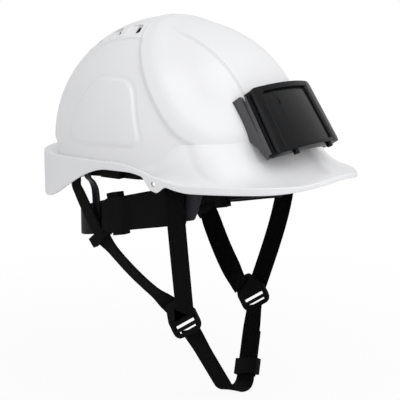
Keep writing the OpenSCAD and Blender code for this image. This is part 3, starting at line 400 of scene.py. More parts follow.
def box_cutter(name, size, at, turn, round_by=None):
    """Box cutter with rounded upright edges, centred on a point."""
    sx, sy, sz = size
    r, ring = round_by or min(sx, sy) * 0.28, []
    for cx, cy, a0 in ((1, 1, 0), (-1, 1, 90), (-1, -1, 180), (1, -1, 270)):
        a = np.radians(np.linspace(a0, a0 + 90, 5))
        ring.append(stack(cx * (sx / 2 - r) + r * np.cos(a), cy * (sy / 2 - r) + r * np.sin(a)))
    return prism(name, np.vstack(ring), -sz / 2, sz / 2, at, turn)


def round_cutter(name, radius, length, at, turn):
    """Round cutter along a turned Z axis, centred on a point."""
    a = np.linspace(0, 2 * math.pi, 40, endpoint=False)
    return prism(name, stack(radius * np.cos(a), radius * np.sin(a)), -length / 2, length / 2, at, turn)


COVER_Y, COVER_Z, COVER_TILT = -141.4, 23.3, 32.5
RIVET_X, RIVET_Z, RIVET_R, RIVET_GAP = 22.0, 30.0, 2.0, 0.05


def holder_point(p):
    """Point of the badge holder's own frame, leaned back by the cover's tilt and moved to its foot."""
    return np.asarray(p, float) @ turned("x", -COVER_TILT).T + np.array([0, COVER_Y, COVER_Z])


def in_holder(points):
    """World points in millimetres as points of the badge holder's own frame."""
    return (points - np.array([0, COVER_Y, COVER_Z])) @ turned("x", -COVER_TILT)


def rounded_outline(corners, radius):
    """Outline of straight runs with its corners turned as quadratic curves that start a radius away."""
    corners, ring = np.asarray(corners, float), []
    for i, corner in enumerate(corners):
        before, after = corners[i - 1], corners[(i + 1) % len(corners)]
        start, end = corner + unit(before - corner) * radius, corner + unit(after - corner) * radius
        for t in np.linspace(0, 1, 5):
            ring.append(start * (1 - t) ** 2 + corner * 2 * t * (1 - t) + end * t * t)
    return np.array(ring)


def vent_cutters(side, index):
    """A leaning prism for the louvre's ramp and an upright one for its open throat, set on the dome's slope."""
    y, step = VENT_FIRST_Y + index * VENT_PITCH, 4.0

    def slope(low, high):
        return math.degrees(math.atan2(float(high - low), 2 * step))

    roll = slope(dome_z(VENT_X + step, y), dome_z(VENT_X - step, y))
    pitch = slope(dome_z(VENT_X, y - step), dome_z(VENT_X, y + step))
    seat = turned("x", pitch) @ turned("y", side * roll)
    at = np.array([side * VENT_X, y, float(dome_z(VENT_X, y)) + BAND_RISE])
    lean = seat @ turned("x", math.degrees(math.atan2(RAMP_DEEP - RAMP_END, RAMP_L)))
    ramp_at = at + seat @ np.array([0, -RAMP_L / 2, -RAMP_DEEP]) + lean @ np.array([0, RAMP_L / 2, 0])

    def outline(corners, radius):
        flipped = np.array(corners) * [-side, 1]
        return rounded_outline(flipped if side == LEFT else flipped[::-1], radius)

    return [prism("ramp", outline(LOUVRE, LOUVRE_R), 0, 12, ramp_at, lean),
            prism("throat", outline(THROAT, THROAT_R), -12, 12, at, seat)]


def bore_cutters(side):
    """The lug's bore, square to the rim's curve in plan, and the rivet's bore, square to the holder's back."""
    side_axis, front_axis = DOME_W / 2 + FLARE_SIDE, DOME_FRONT + PEAK_L
    x = side_axis * (1 - (LUG_Y / front_axis) ** PLAN_N) ** (1 / PLAN_N)
    plan_turn = math.atan2(LUG_Y ** (PLAN_N - 1) / front_axis**PLAN_N, x ** (PLAN_N - 1) / side_axis**PLAN_N)
    square = turned("z", -side * math.degrees(plan_turn)) @ turned("y", 90)
    middle = holder_point([side * RIVET_X, 23, RIVET_Z])
    return [round_cutter("lug", LUG_HOLE_R, 20, (side * x, -LUG_Y, LUG_Z), square),
            round_cutter("rivet", RIVET_R + RIVET_GAP, 46, middle, turned("x", -90 - COVER_TILT))]


def make_shell():
    """The shell as one closed skin of its rows with a pole at each crown, cut by louvres, lug holes and rivet bores."""
    rows = shell_rows()
    count, columns = rows.shape[:2]
    crown = np.array([0, CROWN_BACK, FOOT_Z + DOME_H])
    rise = float(relief(crown, False))
    points = np.vstack([rows.reshape(-1, 3), crown + [0, 0, rise], crown + [0, 0, rise - WALL]])
    faces = grid_faces(count, columns).tolist()
    out_pole, in_pole = count * columns, count * columns + 1
    last = (count - 1) * columns
    faces += [[out_pole, (i + 1) % columns, i] for i in range(columns)]
    faces += [[in_pole, last + i, last + (i + 1) % columns] for i in range(columns)]
    obj = mesh_object("helmet_shell", points, faces)
    face_outwards(obj)
    cutters = [c for side in (RIGHT, LEFT) for index in range(VENT_COUNT) for c in vent_cutters(side, index)]
    cutters += [c for side in (RIGHT, LEFT) for c in bore_cutters(side)]
    return cut(obj, cutters, 28)


# Bars, bands and webbing

MIRROR = np.array([-1.0, 1, 1])
CORNER_MOST = 0.46
SELVEDGE = 0.12


def mirrored(points, side):
    """Points of the wearer's right, turned over to the left where that side is asked for."""
    return points * MIRROR if side == LEFT else points


def rounded_section(rings, radius):
    """Four-cornered sections with each corner turned into a quadratic arc that starts the radius away from it.

    Where a side is short, the arc starts at 0.46 of its length.
    """
    out = []
    for i in range(4):
        here, ends = rings[:, i], []
        for near in (rings[:, i - 1], rings[:, (i + 1) % 4]):
            room = np.minimum(radius, CORNER_MOST * np.linalg.norm(near - here, axis=1))[:, None]
            ends.append(here + unit(near - here) * room)
        for t in (0.0, 0.5, 1.0):
            out.append(ends[0] * (1 - t) ** 2 + here * 2 * t * (1 - t) + ends[1] * t * t)
    return np.stack(out, axis=1)


def bar(name, rings, radius, loop=False):
    """Skin over rounded four-cornered sections, with its two ends drawn in where it isn't a loop."""
    sections = rounded_section(np.asarray(rings, float), radius)
    if not loop:
        ends = []
        for first, second in ((sections[0], sections[1]), (sections[-1], sections[-2])):
            middle = first.mean(axis=0)
            along = unit(second.mean(axis=0) - middle)
            spread = first - middle
            nearest = max(np.linalg.norm(spread, axis=1).min(), 1e-6)
            thick = 0.8 * min(nearest, radius)
            ends.append([middle + spread * (1 - 0.5 * thick / nearest), first + along * thick * 0.6])
        sections = np.concatenate([ends[0], sections[1:-1], ends[1][::-1]])
    return skin(name, sections, loop)


def webbing(name, path, wide, width, thick, count, side=RIGHT):
    """Flat strap along a smooth path: a flat oblong section with round, swollen selvedges is carried along it.

    Its UV is metres across and along.
    """
    both = through(np.hstack([np.asarray(path, float), np.asarray(wide, float)]), count)
    line, across = both[:, :3], unit(both[:, 3:])
    along = unit(np.gradient(line, axis=0))
    flat = unit(np.cross(along, across))
    across = unit(np.cross(flat, along))
    r = thick / 2
    a = np.radians(np.linspace(-90, 90, 5))[1:-1]
    half = np.linspace(-1, 1, 9) * (width / 2 - r)
    u = np.concatenate([half, width / 2 - r + r * np.cos(a), half[::-1], -(width / 2 - r) - r * np.cos(a)])
    v = np.concatenate([np.full(9, -r), r * np.sin(a), np.full(9, r), -r * np.sin(a)])
    v = v * (1 + SELVEDGE * smooth(0.72, 0.92, np.abs(u) / (width / 2)))
    sections = line[:, None] + across[:, None] * u[None, :, None] + flat[:, None] * v[None, :, None]
    length = np.concatenate([[0], np.cumsum(np.linalg.norm(np.diff(line, axis=0), axis=1))])
    uv = np.stack([np.tile(u, count), np.repeat(length, len(u))], axis=1) * MM
    return skin(name, mirrored(sections, side), uv=uv, angle=50)


STRAIGHT_FRONT, STRAIGHT_REAR = -38.0, 26.0
HEAD_HALF, HEAD_FRONT, HEAD_REAR, BAND_T, BAND_H, HEAD_H = 75.0, 97.0, 88.0, 2.0, 30.0, 26.0
BAND_SLOPE, BAND_MID_Z, BAND_MID_Y = 0.2, -38.0, -6.0
FIT, SIDE_T, PAST_KEEPER, SIDE_FRONT_Y = 0.3, 2.5, 2.9, -62.0
YOKE_T, TONGUE_H, REAR_H, YOKE_SINK, YOKE_DROP, TONGUE_Y = 2.2, 24.0, 26.0, 4.0, 6.0, -37.0
FRONT_LOW, FRONT_HIGH, SWEAT_T, NAPE_PAD_T = -12.0, 15.0, 4.0, 4.0
ADJUSTER_SLOT, ADJUSTER_Y, GRIP_SLOT, GRIP_X = (26, 3, 10), -14.0, (18, 9, 30), 20.0
SLIDE_ANGLE = math.degrees(math.atan(BAND_SLOPE))
# Runs along Y over which the headband turns up to the brow, the side band widens, bows and narrows, the yoke changes
HEAD_LOW_RUN, HEAD_HIGH_RUN, SIDE_WIDE, SIDE_WIDE_RUN = (66, 74), (30, 72), 2, (20, 60)
SIDE_END_RUN, SIDE_BOW_RUN, YOKE_RUN, YOKE_WIDE_RUN = (12, 20), (-14, 0), (18, 40), (18, 60)


def band_z(y):
    """Height of the headband's middle line, which falls to the rear."""
    return BAND_MID_Z - BAND_SLOPE * (y - BAND_MID_Y)


def four_corners(inner, outer, low, high):
    """Sections of an upright band between two lines in plan, from the inner line's lower edge round to the outer's."""
    (x, y), (x2, y2) = inner, outer
    return np.stack([stack(x, y, low), stack(x, y, high), stack(x2, y2, high), stack(x2, y2, low)], axis=1)


def hoop_xy(a, half, front, rear):
    """Plan of the headband: a half ellipse in front and one behind, by sine and cosine, joined by straight sides."""
    c, s = np.cos(np.radians(a)), np.sin(np.radians(a))
    ahead, behind = STRAIGHT_FRONT - (front + STRAIGHT_FRONT) * c, STRAIGHT_REAR - (rear - STRAIGHT_REAR) * c
    return -half * s, np.where(c >= -1e-9, ahead, behind)


def hoop_rings(angles, half, front, rear, t, low, high):
    """Sections of a band that follows the headband's plan, from its inner face to its outer one."""
    inner, outer = hoop_xy(angles, half, front, rear), hoop_xy(angles, half + t, front + t, rear + t)
    return four_corners(inner, outer, low(inner[1]), high(inner[1]))


def upright_rings(x0, x1, ys, low, high):
    """Sections of a straight band along Y between two X faces."""
    return four_corners((x0, ys), (x1, ys), low(ys), high(ys))


def hoop_back(angles, half, rear, t, low, high):
    """Sections round the back of the head, on a half ellipse from the left side to the right."""
    a = np.radians(angles)
    inner = half * np.sin(a), STRAIGHT_REAR - (rear - STRAIGHT_REAR) * np.cos(a)
    outer = (half + t) * np.sin(a), STRAIGHT_REAR - (rear + t - STRAIGHT_REAR) * np.cos(a)
    return four_corners(inner, outer, low(inner[1]), high(inner[1]))


def head_low(y):
    """Lower edge of the headband."""
    return mix(band_z(y) - HEAD_H / 2, FRONT_LOW, smooth(*HEAD_LOW_RUN, -y))


def head_high(y):
    """Upper edge of the headband."""
    return mix(band_z(y) + HEAD_H / 2, FRONT_HIGH, smooth(*HEAD_HIGH_RUN, -y))


def make_headband():
    """The headband from one side's end round the forehead to the other, with its two adjuster slots."""
    rings = np.concatenate([
        upright_rings(HEAD_HALF, HEAD_HALF + BAND_T, np.linspace(10, -34, 16), head_low, head_high),
        hoop_rings(np.linspace(-90, 90, 160), HEAD_HALF, HEAD_FRONT, HEAD_REAR, BAND_T, head_low, head_high),
        upright_rings(-HEAD_HALF, -HEAD_HALF - BAND_T, np.linspace(-34, 10, 16), head_low, head_high)])
    turn = turned("x", -SLIDE_ANGLE) @ turned("y", 90) @ turned("z", 90)
    x, z = HEAD_HALF + BAND_T / 2, float(band_z(ADJUSTER_Y))
    cutters = [box_cutter("slot", ADJUSTER_SLOT, (side * x, ADJUSTER_Y, z), turn) for side in (RIGHT, LEFT)]
    return cut(bar("forehead_band", rings, 0.6), cutters, 40)


def make_side_band(side):
    """The wide outer band over the ear side of the headband, bowed out past the keeper near its rear end."""
    half, front = HEAD_HALF + BAND_T + FIT, HEAD_FRONT + BAND_T + FIT

    def low(y):
        return band_z(y) - BAND_H / 2 + SIDE_WIDE * smooth(*SIDE_END_RUN, y)

    def high(y):
        return band_z(y) + BAND_H / 2 + SIDE_WIDE * smooth(*SIDE_WIDE_RUN, -y) - SIDE_WIDE * smooth(*SIDE_END_RUN, y)

    end = math.degrees(math.acos((-SIDE_FRONT_Y + STRAIGHT_FRONT) / (front + STRAIGHT_FRONT)))
    ys = np.linspace(20, -36, 48)
    inner = -half - PAST_KEEPER * smooth(*SIDE_BOW_RUN, ys)
    rings = np.concatenate([upright_rings(inner, inner - SIDE_T, ys, low, high),
                            hoop_rings(np.linspace(90, end, 40), half, front, HEAD_REAR, SIDE_T, low, high)])
    return bar("ear_band_" + side_name(side), mirrored(rings, side), 0.8)


def yoke_half_h(y):
    """Half the nape yoke's height, which grows from the tongues to the rear."""
    return mix(TONGUE_H, REAR_H, smooth(*YOKE_WIDE_RUN, y)) / 2


def yoke_low(y):
    """Lower edge of the nape yoke."""
    return band_z(y) - yoke_half_h(y) - YOKE_SINK * smooth(*YOKE_RUN, y)


def yoke_high(y):
    """Upper edge of the nape yoke."""
    return band_z(y) + yoke_half_h(y) - YOKE_DROP * smooth(*YOKE_RUN, y)


def make_yoke():
    """The nape yoke from tongue to tongue, with two grip slots behind."""
    half = HEAD_HALF - FIT - YOKE_T
    rings = np.concatenate([
        upright_rings(half, half + YOKE_T, np.linspace(TONGUE_Y, 24, 26), yoke_low, yoke_high),
        hoop_back(np.linspace(-270, -90, 150), half, HEAD_REAR, YOKE_T, yoke_low, yoke_high),
        upright_rings(-half, -half - YOKE_T, np.linspace(24, TONGUE_Y, 26), yoke_low, yoke_high)])
    z = float(band_z(HEAD_REAR))
    cutters = [box_cutter("grip", GRIP_SLOT, (side * GRIP_X, HEAD_REAR, z), turned("x", 90)) for side in (RIGHT, LEFT)]
    return cut(bar("nape_band", rings, 0.7), cutters, 40)


RING_HALF, RING_FRONT, RING_REAR, RING_T, RING_LOW, RING_HIGH = 86.0, 103.0, 94.0, 2.4, -7.0, 5.0
TONGUE_D, FRONT_A, EAR_A, REAR_A = 5.0, 59, 90, 119
FRONT_TOP, EAR_TOP, REAR_TOP, CRADLE_H = 32.0, 20.0, 15.5, 86.0
CRADLE_WEB, CRADLE_T, CRADLE_FOOT, WEB_W, WEB_T = 16.0, 1.1, 1.5, 19.0, 1.4


def ring_low_z(y):
    """Lower edge of the cradle ring."""
    return RING_LOW - 2.5 * smooth(0, 40, y) + 5 * smooth(20, 80, -np.asarray(y, float))


def oval(a, out):
    """Plan point of the cradle ring at an angle, moved outwards."""
    r = np.radians(a)
    s, c = np.sin(r), np.cos(r)
    ext = np.where(c > 0, RING_FRONT, RING_REAR)
    return stack(-(RING_HALF + out) * reach(r) * s, -(ext + out) * reach(r) * c)


def tangent(a):
    """Direction along the ring, of growing angle."""
    d = oval(a + 1, 0) - oval(a - 1, 0)
    return d / np.linalg.norm(d)


def outward(a):
    """Direction out of the ring."""
    t = tangent(a)
    return np.array([-t[1], t[0]])


def make_ring():
    """The cradle ring as a closed hoop with rounded edges."""
    a = np.linspace(0, 360, 260, endpoint=False)
    inner, outer = oval(a, 0).T, oval(a, RING_T).T
    low = ring_low_z(inner[1])
    return bar("cradle_hoop", four_corners(inner, outer, low, low + RING_HIGH - RING_LOW), 0.6, loop=True)


def make_cradle_strap(name, a, b, za, zb, top):
    """Cradle webbing from one hanger's pocket to the opposite one: an arch of height sin(u)^0.9 over a half turn u."""
    off = 0.06 + TONGUE_D / 2
    p, q = oval(a, RING_T) + outward(a) * off, oval(b, RING_T) + outward(b) * off
    u = np.linspace(0, np.pi, 17)
    f = (1 - np.cos(u)) / 2
    rise = (top - CRADLE_FOOT - (za + zb) / 2) * np.sin(u).clip(0) ** 0.9
    arch = stack(mix(p[0], q[0], f), mix(p[1], q[1], f), CRADLE_FOOT + mix(za, zb, f) + rise)
    path = np.vstack([[*p, za - 8], [*p, za], arch, [*q, zb], [*q, zb - 8]])
    last = len(path) - 1
    share = smooth(2, last - 2, np.arange(last + 1))[:, None]
    wide = unit(np.hstack([mix(tangent(a)[None], -tangent(b)[None], share), np.zeros((last + 1, 1))]))
    return webbing(name, path, wide, CRADLE_WEB, CRADLE_T, 110)


# Ends and turns of the harness on the wearer's right, in plan or in space
STRAP_TOP, REAR_TOP_XY = np.array([-84.6, -58.5]), np.array([-82.0, 49.1])
BUCKLE_AT, GUIDE_AT = np.array([-52.5, -46.4, -134.0]), np.array([-77.35, 26.0, -62.4])
CHIN_LOW, CHIN_Y, CHIN_Z = np.array([-17.5, -61.7, -196.0]), -66.0, -203.2
CHIN_RUN = unit([25.3, 9.9, 45])
POCKET, BUCKLE_T, TAIL_L = 9.0, 3.2, 42.0
BUCKLE_OUTER, BUCKLE_INNER = BUCKLE_AT[0] - (BUCKLE_T + WEB_T) / 2, BUCKLE_AT[0] + (BUCKLE_T + WEB_T) / 2
FRONT_BOW, REAR_BOW, LOWER_SAG = np.array([-5.2, -3.9, 0]), np.array([-0.7, 0, 0]), np.array([-1.0, 2.2, -2.4])
ARM_A, ARM_T, ARM_W, ARM_GAP = 109, 2.0, 9.0, 0.12
# Directions across the webbing
SLOT_DIR, STRAP_FLAT, FORE = unit([0, -0.84, 0.54]), unit([0, -0.95, 0.2]), np.array([0, -1.0, 0])
GUIDE_WIDE, BUCKLE_WIDE, LOWER_WIDE = unit([-0.36, -0.84, 0.4]), unit([0, -0.62, 0.78]), unit([-0.42, -0.75, 0.52])


def side_name(side):
    """The word for a side in a piece's name."""
    return "right" if side == RIGHT else "left"


def along_ring(angle):
    """Direction along the ring at an angle, level in space."""
    return np.append(tangent(angle), 0.0)


def pocket_top(x, y):
    """End of a strap inside the ring's hanger."""
    return np.array([x, y, float(ring_low_z(y)) + POCKET - 0.6])


def make_front_strap(side):
    """The strap from the front hanger down to the buckle's outer face, bowed by sin(pi u^0.7) over the ear band."""
    x, y = STRAP_TOP
    foot = np.array([BUCKLE_OUTER - 0.45, -48, -124])
    kink = np.array([x + 0.4, y - 0.1, -10])
    u = np.linspace(0, 1, 11)[:, None]
    run = mix(kink, foot, u) + FRONT_BOW * np.sin(np.pi * u**0.7)
    path = np.vstack([pocket_top(x, y), [x, y, -5], run])
    wide = unit(mix(-along_ring(FRONT_A), FORE, smooth(0.5, 3.5, np.arange(13))[:, None]))
    return webbing("front_web_" + side_name(side), path, wide, WEB_W, WEB_T, 110, side)


def make_rear_upper(side):
    """The strap from the rear hanger down to the guide loop, bowed outwards by half a sine."""
    x, y = REAR_TOP_XY
    foot = GUIDE_AT + [-0.1, 1.9, 1.7]
    u = np.linspace(0, 1, 7)[:, None]
    run = mix(np.array([x, y, -20]), foot, u) + REAR_BOW * np.sin(np.pi * u)
    path = np.vstack([pocket_top(x, y), [x, y, -12], run])
    wide = unit(mix(-along_ring(REAR_A), GUIDE_WIDE, smooth(0.5, 4, np.arange(9))[:, None]))
    return webbing("rear_web_upper_" + side_name(side), path, wide, WEB_W, WEB_T, 70, side)


def make_rear_lower(side):
    """The strap from the guide loop forward and down to the buckle's inner face, sagging by half a sine."""
    foot = np.array([BUCKLE_INNER + 1.7, -34, -125])
    head = GUIDE_AT + unit(foot - GUIDE_AT) * 2.8
    lean = math.radians(SLIDE_ANGLE + 28)
    i = np.arange(9)[:, None]
    path = mix(head, foot, i / 8) + LOWER_SAG * np.sin(np.pi * i / 8)
    flat = mix(np.array([0, -math.cos(lean), math.sin(lean)]), BUCKLE_WIDE, smooth(0, 4, i))
    wide = unit(mix(flat, LOWER_WIDE, smooth(-1, 1.5, i) * (1 - smooth(5.5, 8, i))))
    return webbing("rear_web_lower_" + side_name(side), path, wide, WEB_W, WEB_T, 90, side)


def make_chin_strap():
    """The lower strap from one buckle straight down, on a cubic curve under the chin, and up to the other."""
    rise = (CHIN_LOW[0] - (BUCKLE_INNER + 1.25)) / CHIN_RUN[0]
    head = CHIN_LOW + CHIN_RUN * MIRROR * rise
    n, m = 10, 9
    down = mix(head, CHIN_LOW, np.arange(n)[:, None] / n)
    under = bezier(CHIN_LOW, np.array([-13.4, -63.3, -201.9]), np.array([-7, CHIN_Y, CHIN_Z]),
                   np.array([0, CHIN_Y, CHIN_Z]), np.arange(m + 1)[:, None] / m)
    half = np.vstack([down, under])
    i = np.arange(n + m + 1)[:, None]
    wide = unit(np.where(i < n, mix(SLOT_DIR, STRAP_FLAT, smooth(0, 4, i)), mix(STRAP_FLAT, FORE, smooth(n, n + m, i))))
    path = np.vstack([half, half[-2::-1] * MIRROR])
    return webbing("chin_web", path, np.vstack([wide, wide[-2::-1]]), WEB_W, WEB_T, 200)


def make_tail():
    """The loose end that runs up beside the lower strap from the slider block."""
    normal = unit(np.cross(CHIN_RUN, STRAP_FLAT))
    path = CHIN_LOW * MIRROR + normal * (WEB_T + FIT) + CHIN_RUN * (np.arange(5)[:, None] * TAIL_L / 4 - 2)
    return webbing("loose_web", path, np.tile(STRAP_FLAT, (5, 1)), WEB_W, WEB_T, 40)


def make_arm(side):
    """The flexible arm from the ring down to the nape yoke, on whose ellipse its foot lies."""
    x_top, y = oval(ARM_A, RING_T + ARM_T / 2 + 0.2)
    half, rear = HEAD_HALF - FIT + ARM_T / 2 + ARM_GAP, HEAD_REAR + YOKE_T + ARM_T / 2 + ARM_GAP
    x = -half * math.sqrt(1 - ((y - STRAIGHT_REAR) / (rear - STRAIGHT_REAR)) ** 2)
    turns = [(-5.2, -15), (-1.8, -21), (-0.5, -28), (-0.1, -35), (0, -41), (0, -47.5)]
    path = np.array([[x_top, y, 0], [x_top, y, -9.8]] + [[x + out, y, z] for out, z in turns])
    lean = unit([(y - STRAIGHT_REAR) / (rear - STRAIGHT_REAR) ** 2, -x / half**2, 0])
    wide = unit(mix(along_ring(ARM_A), lean, smooth(1, 5, np.arange(8))[:, None]))
    return webbing("flex_arm_" + side_name(side), path, wide, ARM_W, ARM_T, 60, side)


# How full a pad is at its rim, what its middle adds, and the size and softness of its swelling
PAD_RIM, PAD_CROWN, PAD_ENDS, PAD_EDGES, PAD_COLUMNS = 0.3, 0.42, 8, 5, 22
PAD_CELL, SWELL_MOST, SWELL_FRAMES = 1.6, 1.1, 20
SWELL = {"quality": 5, "mass": 0.2, "tension_stiffness": 12, "compression_stiffness": 12, "bending_stiffness": 0.3,
         "use_pressure": True, "uniform_pressure_force": 4}
SEAM_DEPTH, SEAM_IN, SEAM_WIDTH = 0.5, 2.6, 0.7


def rounded_ends(steps, reach):
    """Run of values that climbs a quarter circle, sqrt(1 - (1 - d)^2), over so many steps from each end."""
    share = np.linspace(0, 1, steps)
    near = np.clip(np.minimum(share, 1 - share) * steps / reach, 0, 1)
    return np.sqrt(1 - (1 - near) ** 2)


def make_pad(name, rings):
    """Foam strip over band sections: it fills 0.3 of its space at the rim and 0.42 more towards the middle."""
    rings = np.asarray(rings, float)
    count, columns = len(rings), PAD_COLUMNS
    full = PAD_RIM + PAD_CROWN * (rounded_ends(columns, PAD_EDGES)[None] * rounded_ends(count, PAD_ENDS)[:, None])
    v = np.linspace(0, 1, columns)[None, :, None]
    inner = mix(rings[:, 0][:, None], rings[:, 1][:, None], v)
    back = mix(rings[:, 3][:, None], rings[:, 2][:, None], v)
    face = back + (inner - back) * full[..., None]
    n = count * columns
    f, at = grid_faces(count, columns, wrap_columns=False), np.arange(n).reshape(count, columns)
    rim = np.concatenate([at[:, 0], at[-1, 1:], at[-2::-1, -1], at[0, -2:0:-1]])
    onward = np.roll(rim, -1)
    walls = np.stack([rim, onward, onward + n, rim + n], axis=1)
    faces = f.tolist() + (f[:, ::-1] + n).tolist() + walls.tolist()
    obj = mesh_object(name, np.vstack([face.reshape(-1, 3), back.reshape(-1, 3)]), faces, angle=60)
    face_outwards(obj)
    return obj


def read_points(mesh):
    """Points of a mesh in millimetres."""
    co = np.empty(len(mesh.vertices) * 3, np.float32)
    mesh.vertices.foreach_get("co", co)
    return co.reshape(-1, 3).astype(float) / MM


def write_points(mesh, points):
    """Moves the points of a mesh, given in millimetres."""
    mesh.vertices.foreach_set("co", (np.asarray(points) * MM).astype(np.float32).ravel())
    mesh.update()


def inflate(obj):
    """Blows the pad up with a pressurised cloth: where its points start, and their steps, held to a length."""
    step = obj.modifiers.new("remesh", "REMESH")
    step.mode = "VOXEL"
    step.voxel_size = PAD_CELL * MM
    applied(obj)
    start = read_points(obj.data)
    cloth = obj.modifiers.new("swell", "CLOTH")
    for key, value in SWELL.items():
        setattr(cloth.settings, key, value)
    cloth.settings.effector_weights.gravity = 0
    cloth.collision_settings.use_collision = False
    cloth.point_cache.frame_start, cloth.point_cache.frame_end = 1, SWELL_FRAMES
    scene = bpy.context.scene
    for number in range(1, SWELL_FRAMES + 1):
        scene.frame_set(number)
    swollen = read_points(obj.evaluated_get(bpy.context.evaluated_depsgraph_get()).data)
    obj.modifiers.clear()
    scene.frame_set(1)
    move = swollen - start
    size = np.linalg.norm(move, axis=1, keepdims=True)
    return start, move * np.minimum(1, SWELL_MOST / np.maximum(size, 1e-9))


def ahead_of(p, half, middle, depth):
    """Distance of points inwards from a half ellipse in plan, about (0, middle), with a half width and a depth."""
    r = np.hypot(p[:, 0] / half, (p[:, 1] - middle) / depth)
    return (1 - r) * np.hypot(p[:, 0], p[:, 1] - middle) / np.maximum(r, 1e-6)


def sew(obj, low, high, start, move, band):
    """Finishes a pad: the swelling fades out towards the band behind it, then a sewn line sinks along each long edge.

    The line's depth is 0.5 exp(-((d - 2.6) / 0.7)^2), d being the distance in mm from the nearer long edge.
    The band is given as the half width, middle and depth of its face.
    """
    write_points(obj.data, start + move * smooth(0.2, 1.6, ahead_of(start, *band))[:, None])
    finer = obj.modifiers.new("finer", "SUBSURF")
    finer.levels = finer.render_levels = 1
    applied(obj)
    p = read_points(obj.data)
    outwards = unit(np.hstack([p[:, :2] - np.array([0.0, band[1]]), np.zeros((len(p), 1))]))
    d = np.minimum(p[:, 2] - low(p[:, 1]), high(p[:, 1]) - p[:, 2])
    depth = SEAM_DEPTH * np.exp(-(((d - SEAM_IN) / SEAM_WIDTH) ** 2)) * smooth(1.2, 2.2, ahead_of(p, *band))
    write_points(obj.data, p + outwards * depth[:, None])
    shade(obj, 60)


# Node groups and materials


def new_group(name, inputs):
    """Shader node group that gives a colour, a roughness and a height. An input without a value is a vector."""
    group = bpy.data.node_groups.new(name, "ShaderNodeTree")
    for label, value in inputs.items():
        kind = "Vector" if value is None else "Color" if isinstance(value, tuple) else "Float"
        socket = group.interface.new_socket(name=label, in_out="INPUT", socket_type="NodeSocket" + kind)
        if value is not None:
            socket.default_value = value
    for label, kind in (("Colour", "Color"), ("Roughness", "Float"), ("Height", "Float")):
        group.interface.new_socket(name=label, in_out="OUTPUT", socket_type="NodeSocket" + kind)
    return group, group.nodes.new("NodeGroupInput").outputs, group.nodes.new("NodeGroupOutput").inputs


def add(tree, kind, links=None, **values):
    """Node of a kind with its properties set, and its inputs linked or given."""
    node = tree.nodes.new(kind)
    for key, value in values.items():
        setattr(node, key, value)
    for key, source in (links or {}).items():
        if isinstance(source, bpy.types.NodeSocket):
            tree.links.new(source, node.inputs[key])
        else:
            node.inputs[key].default_value = source
    return node


def noise(tree, vector, scale, detail=3.0, rough=0.5):
    """Fractal noise value at a scale."""
    node = add(tree, "ShaderNodeTexNoise", {"Vector": vector, "Scale": scale, "Detail": detail, "Roughness": rough})
    return node.outputs["Fac"]


def ramp(tree, value, low, high, out_low=0.0, out_high=1.0):
    """Value mapped from one range to another and held inside it."""
    return add(tree, "ShaderNodeMapRange", {0: value, 1: low, 2: high, 3: out_low, 4: out_high}).outputs[0]


def math_node(tree, operation, a, b=0.0):
    """One arithmetic step."""
    return add(tree, "ShaderNodeMath", {0: a, 1: b}, operation=operation).outputs[0]


def colour_mix(tree, factor, a, b):
    """Colour mix of a and b by a factor."""
    return add(tree, "ShaderNodeMix", {0: factor, 6: a, 7: b}, data_type="RGBA").outputs[2]


def times(tree, a, b):
    """Product of two values."""
    return math_node(tree, "MULTIPLY", a, b)


def plus(tree, a, b):
    """Sum of two values."""
    return math_node(tree, "ADD", a, b)


def moulded_group():
    """Moulded plastic: broad colour drift, fine grain in height and roughness, and thin handling scuffs.

    Scuff is thin lines x patches x Scuff. Roughness is Rough Low + grain x (Rough High - Rough Low) + 0.25 scuff,
    and height is grain - 0.6 scuff.
    """
    group, give, take = new_group("moulded_plastic", {
        "Vector": None, "Colour": grey(0.5), "Drift": grey(0.45), "Grain Scale": 900.0,
        "Rough Low": 0.3, "Rough High": 0.45, "Scuff": 0.2})
    v = give["Vector"]
    broad = ramp(group, noise(group, v, 22.0, 2.0), 0.35, 0.65)
    grain = noise(group, v, give["Grain Scale"], 2.0, 0.6)
    stretched = add(group, "ShaderNodeMapping", {"Vector": v, "Scale": (1.0, 0.16, 1.4)}).outputs[0]
    lines = ramp(group, noise(group, stretched, 420.0, 4.0, 0.7), 0.66, 0.74)
    patches = ramp(group, noise(group, v, 48.0, 3.0), 0.5, 0.68)
    scuff = times(group, times(group, lines, patches), give["Scuff"])
    tint = colour_mix(group, broad, give["Colour"], give["Drift"])
    group.links.new(colour_mix(group, times(group, scuff, 0.35), tint, (0.6, 0.6, 0.62, 1)), take["Colour"])
    spread = math_node(group, "SUBTRACT", give["Rough High"], give["Rough Low"])
    shaped = times(group, ramp(group, grain, 0.3, 0.7), spread)
    rough = plus(group, plus(group, give["Rough Low"], shaped), times(group, scuff, 0.25))
    group.links.new(rough, take["Roughness"])
    group.links.new(math_node(group, "SUBTRACT", grain, times(group, scuff, 0.6)), take["Height"])
    return group


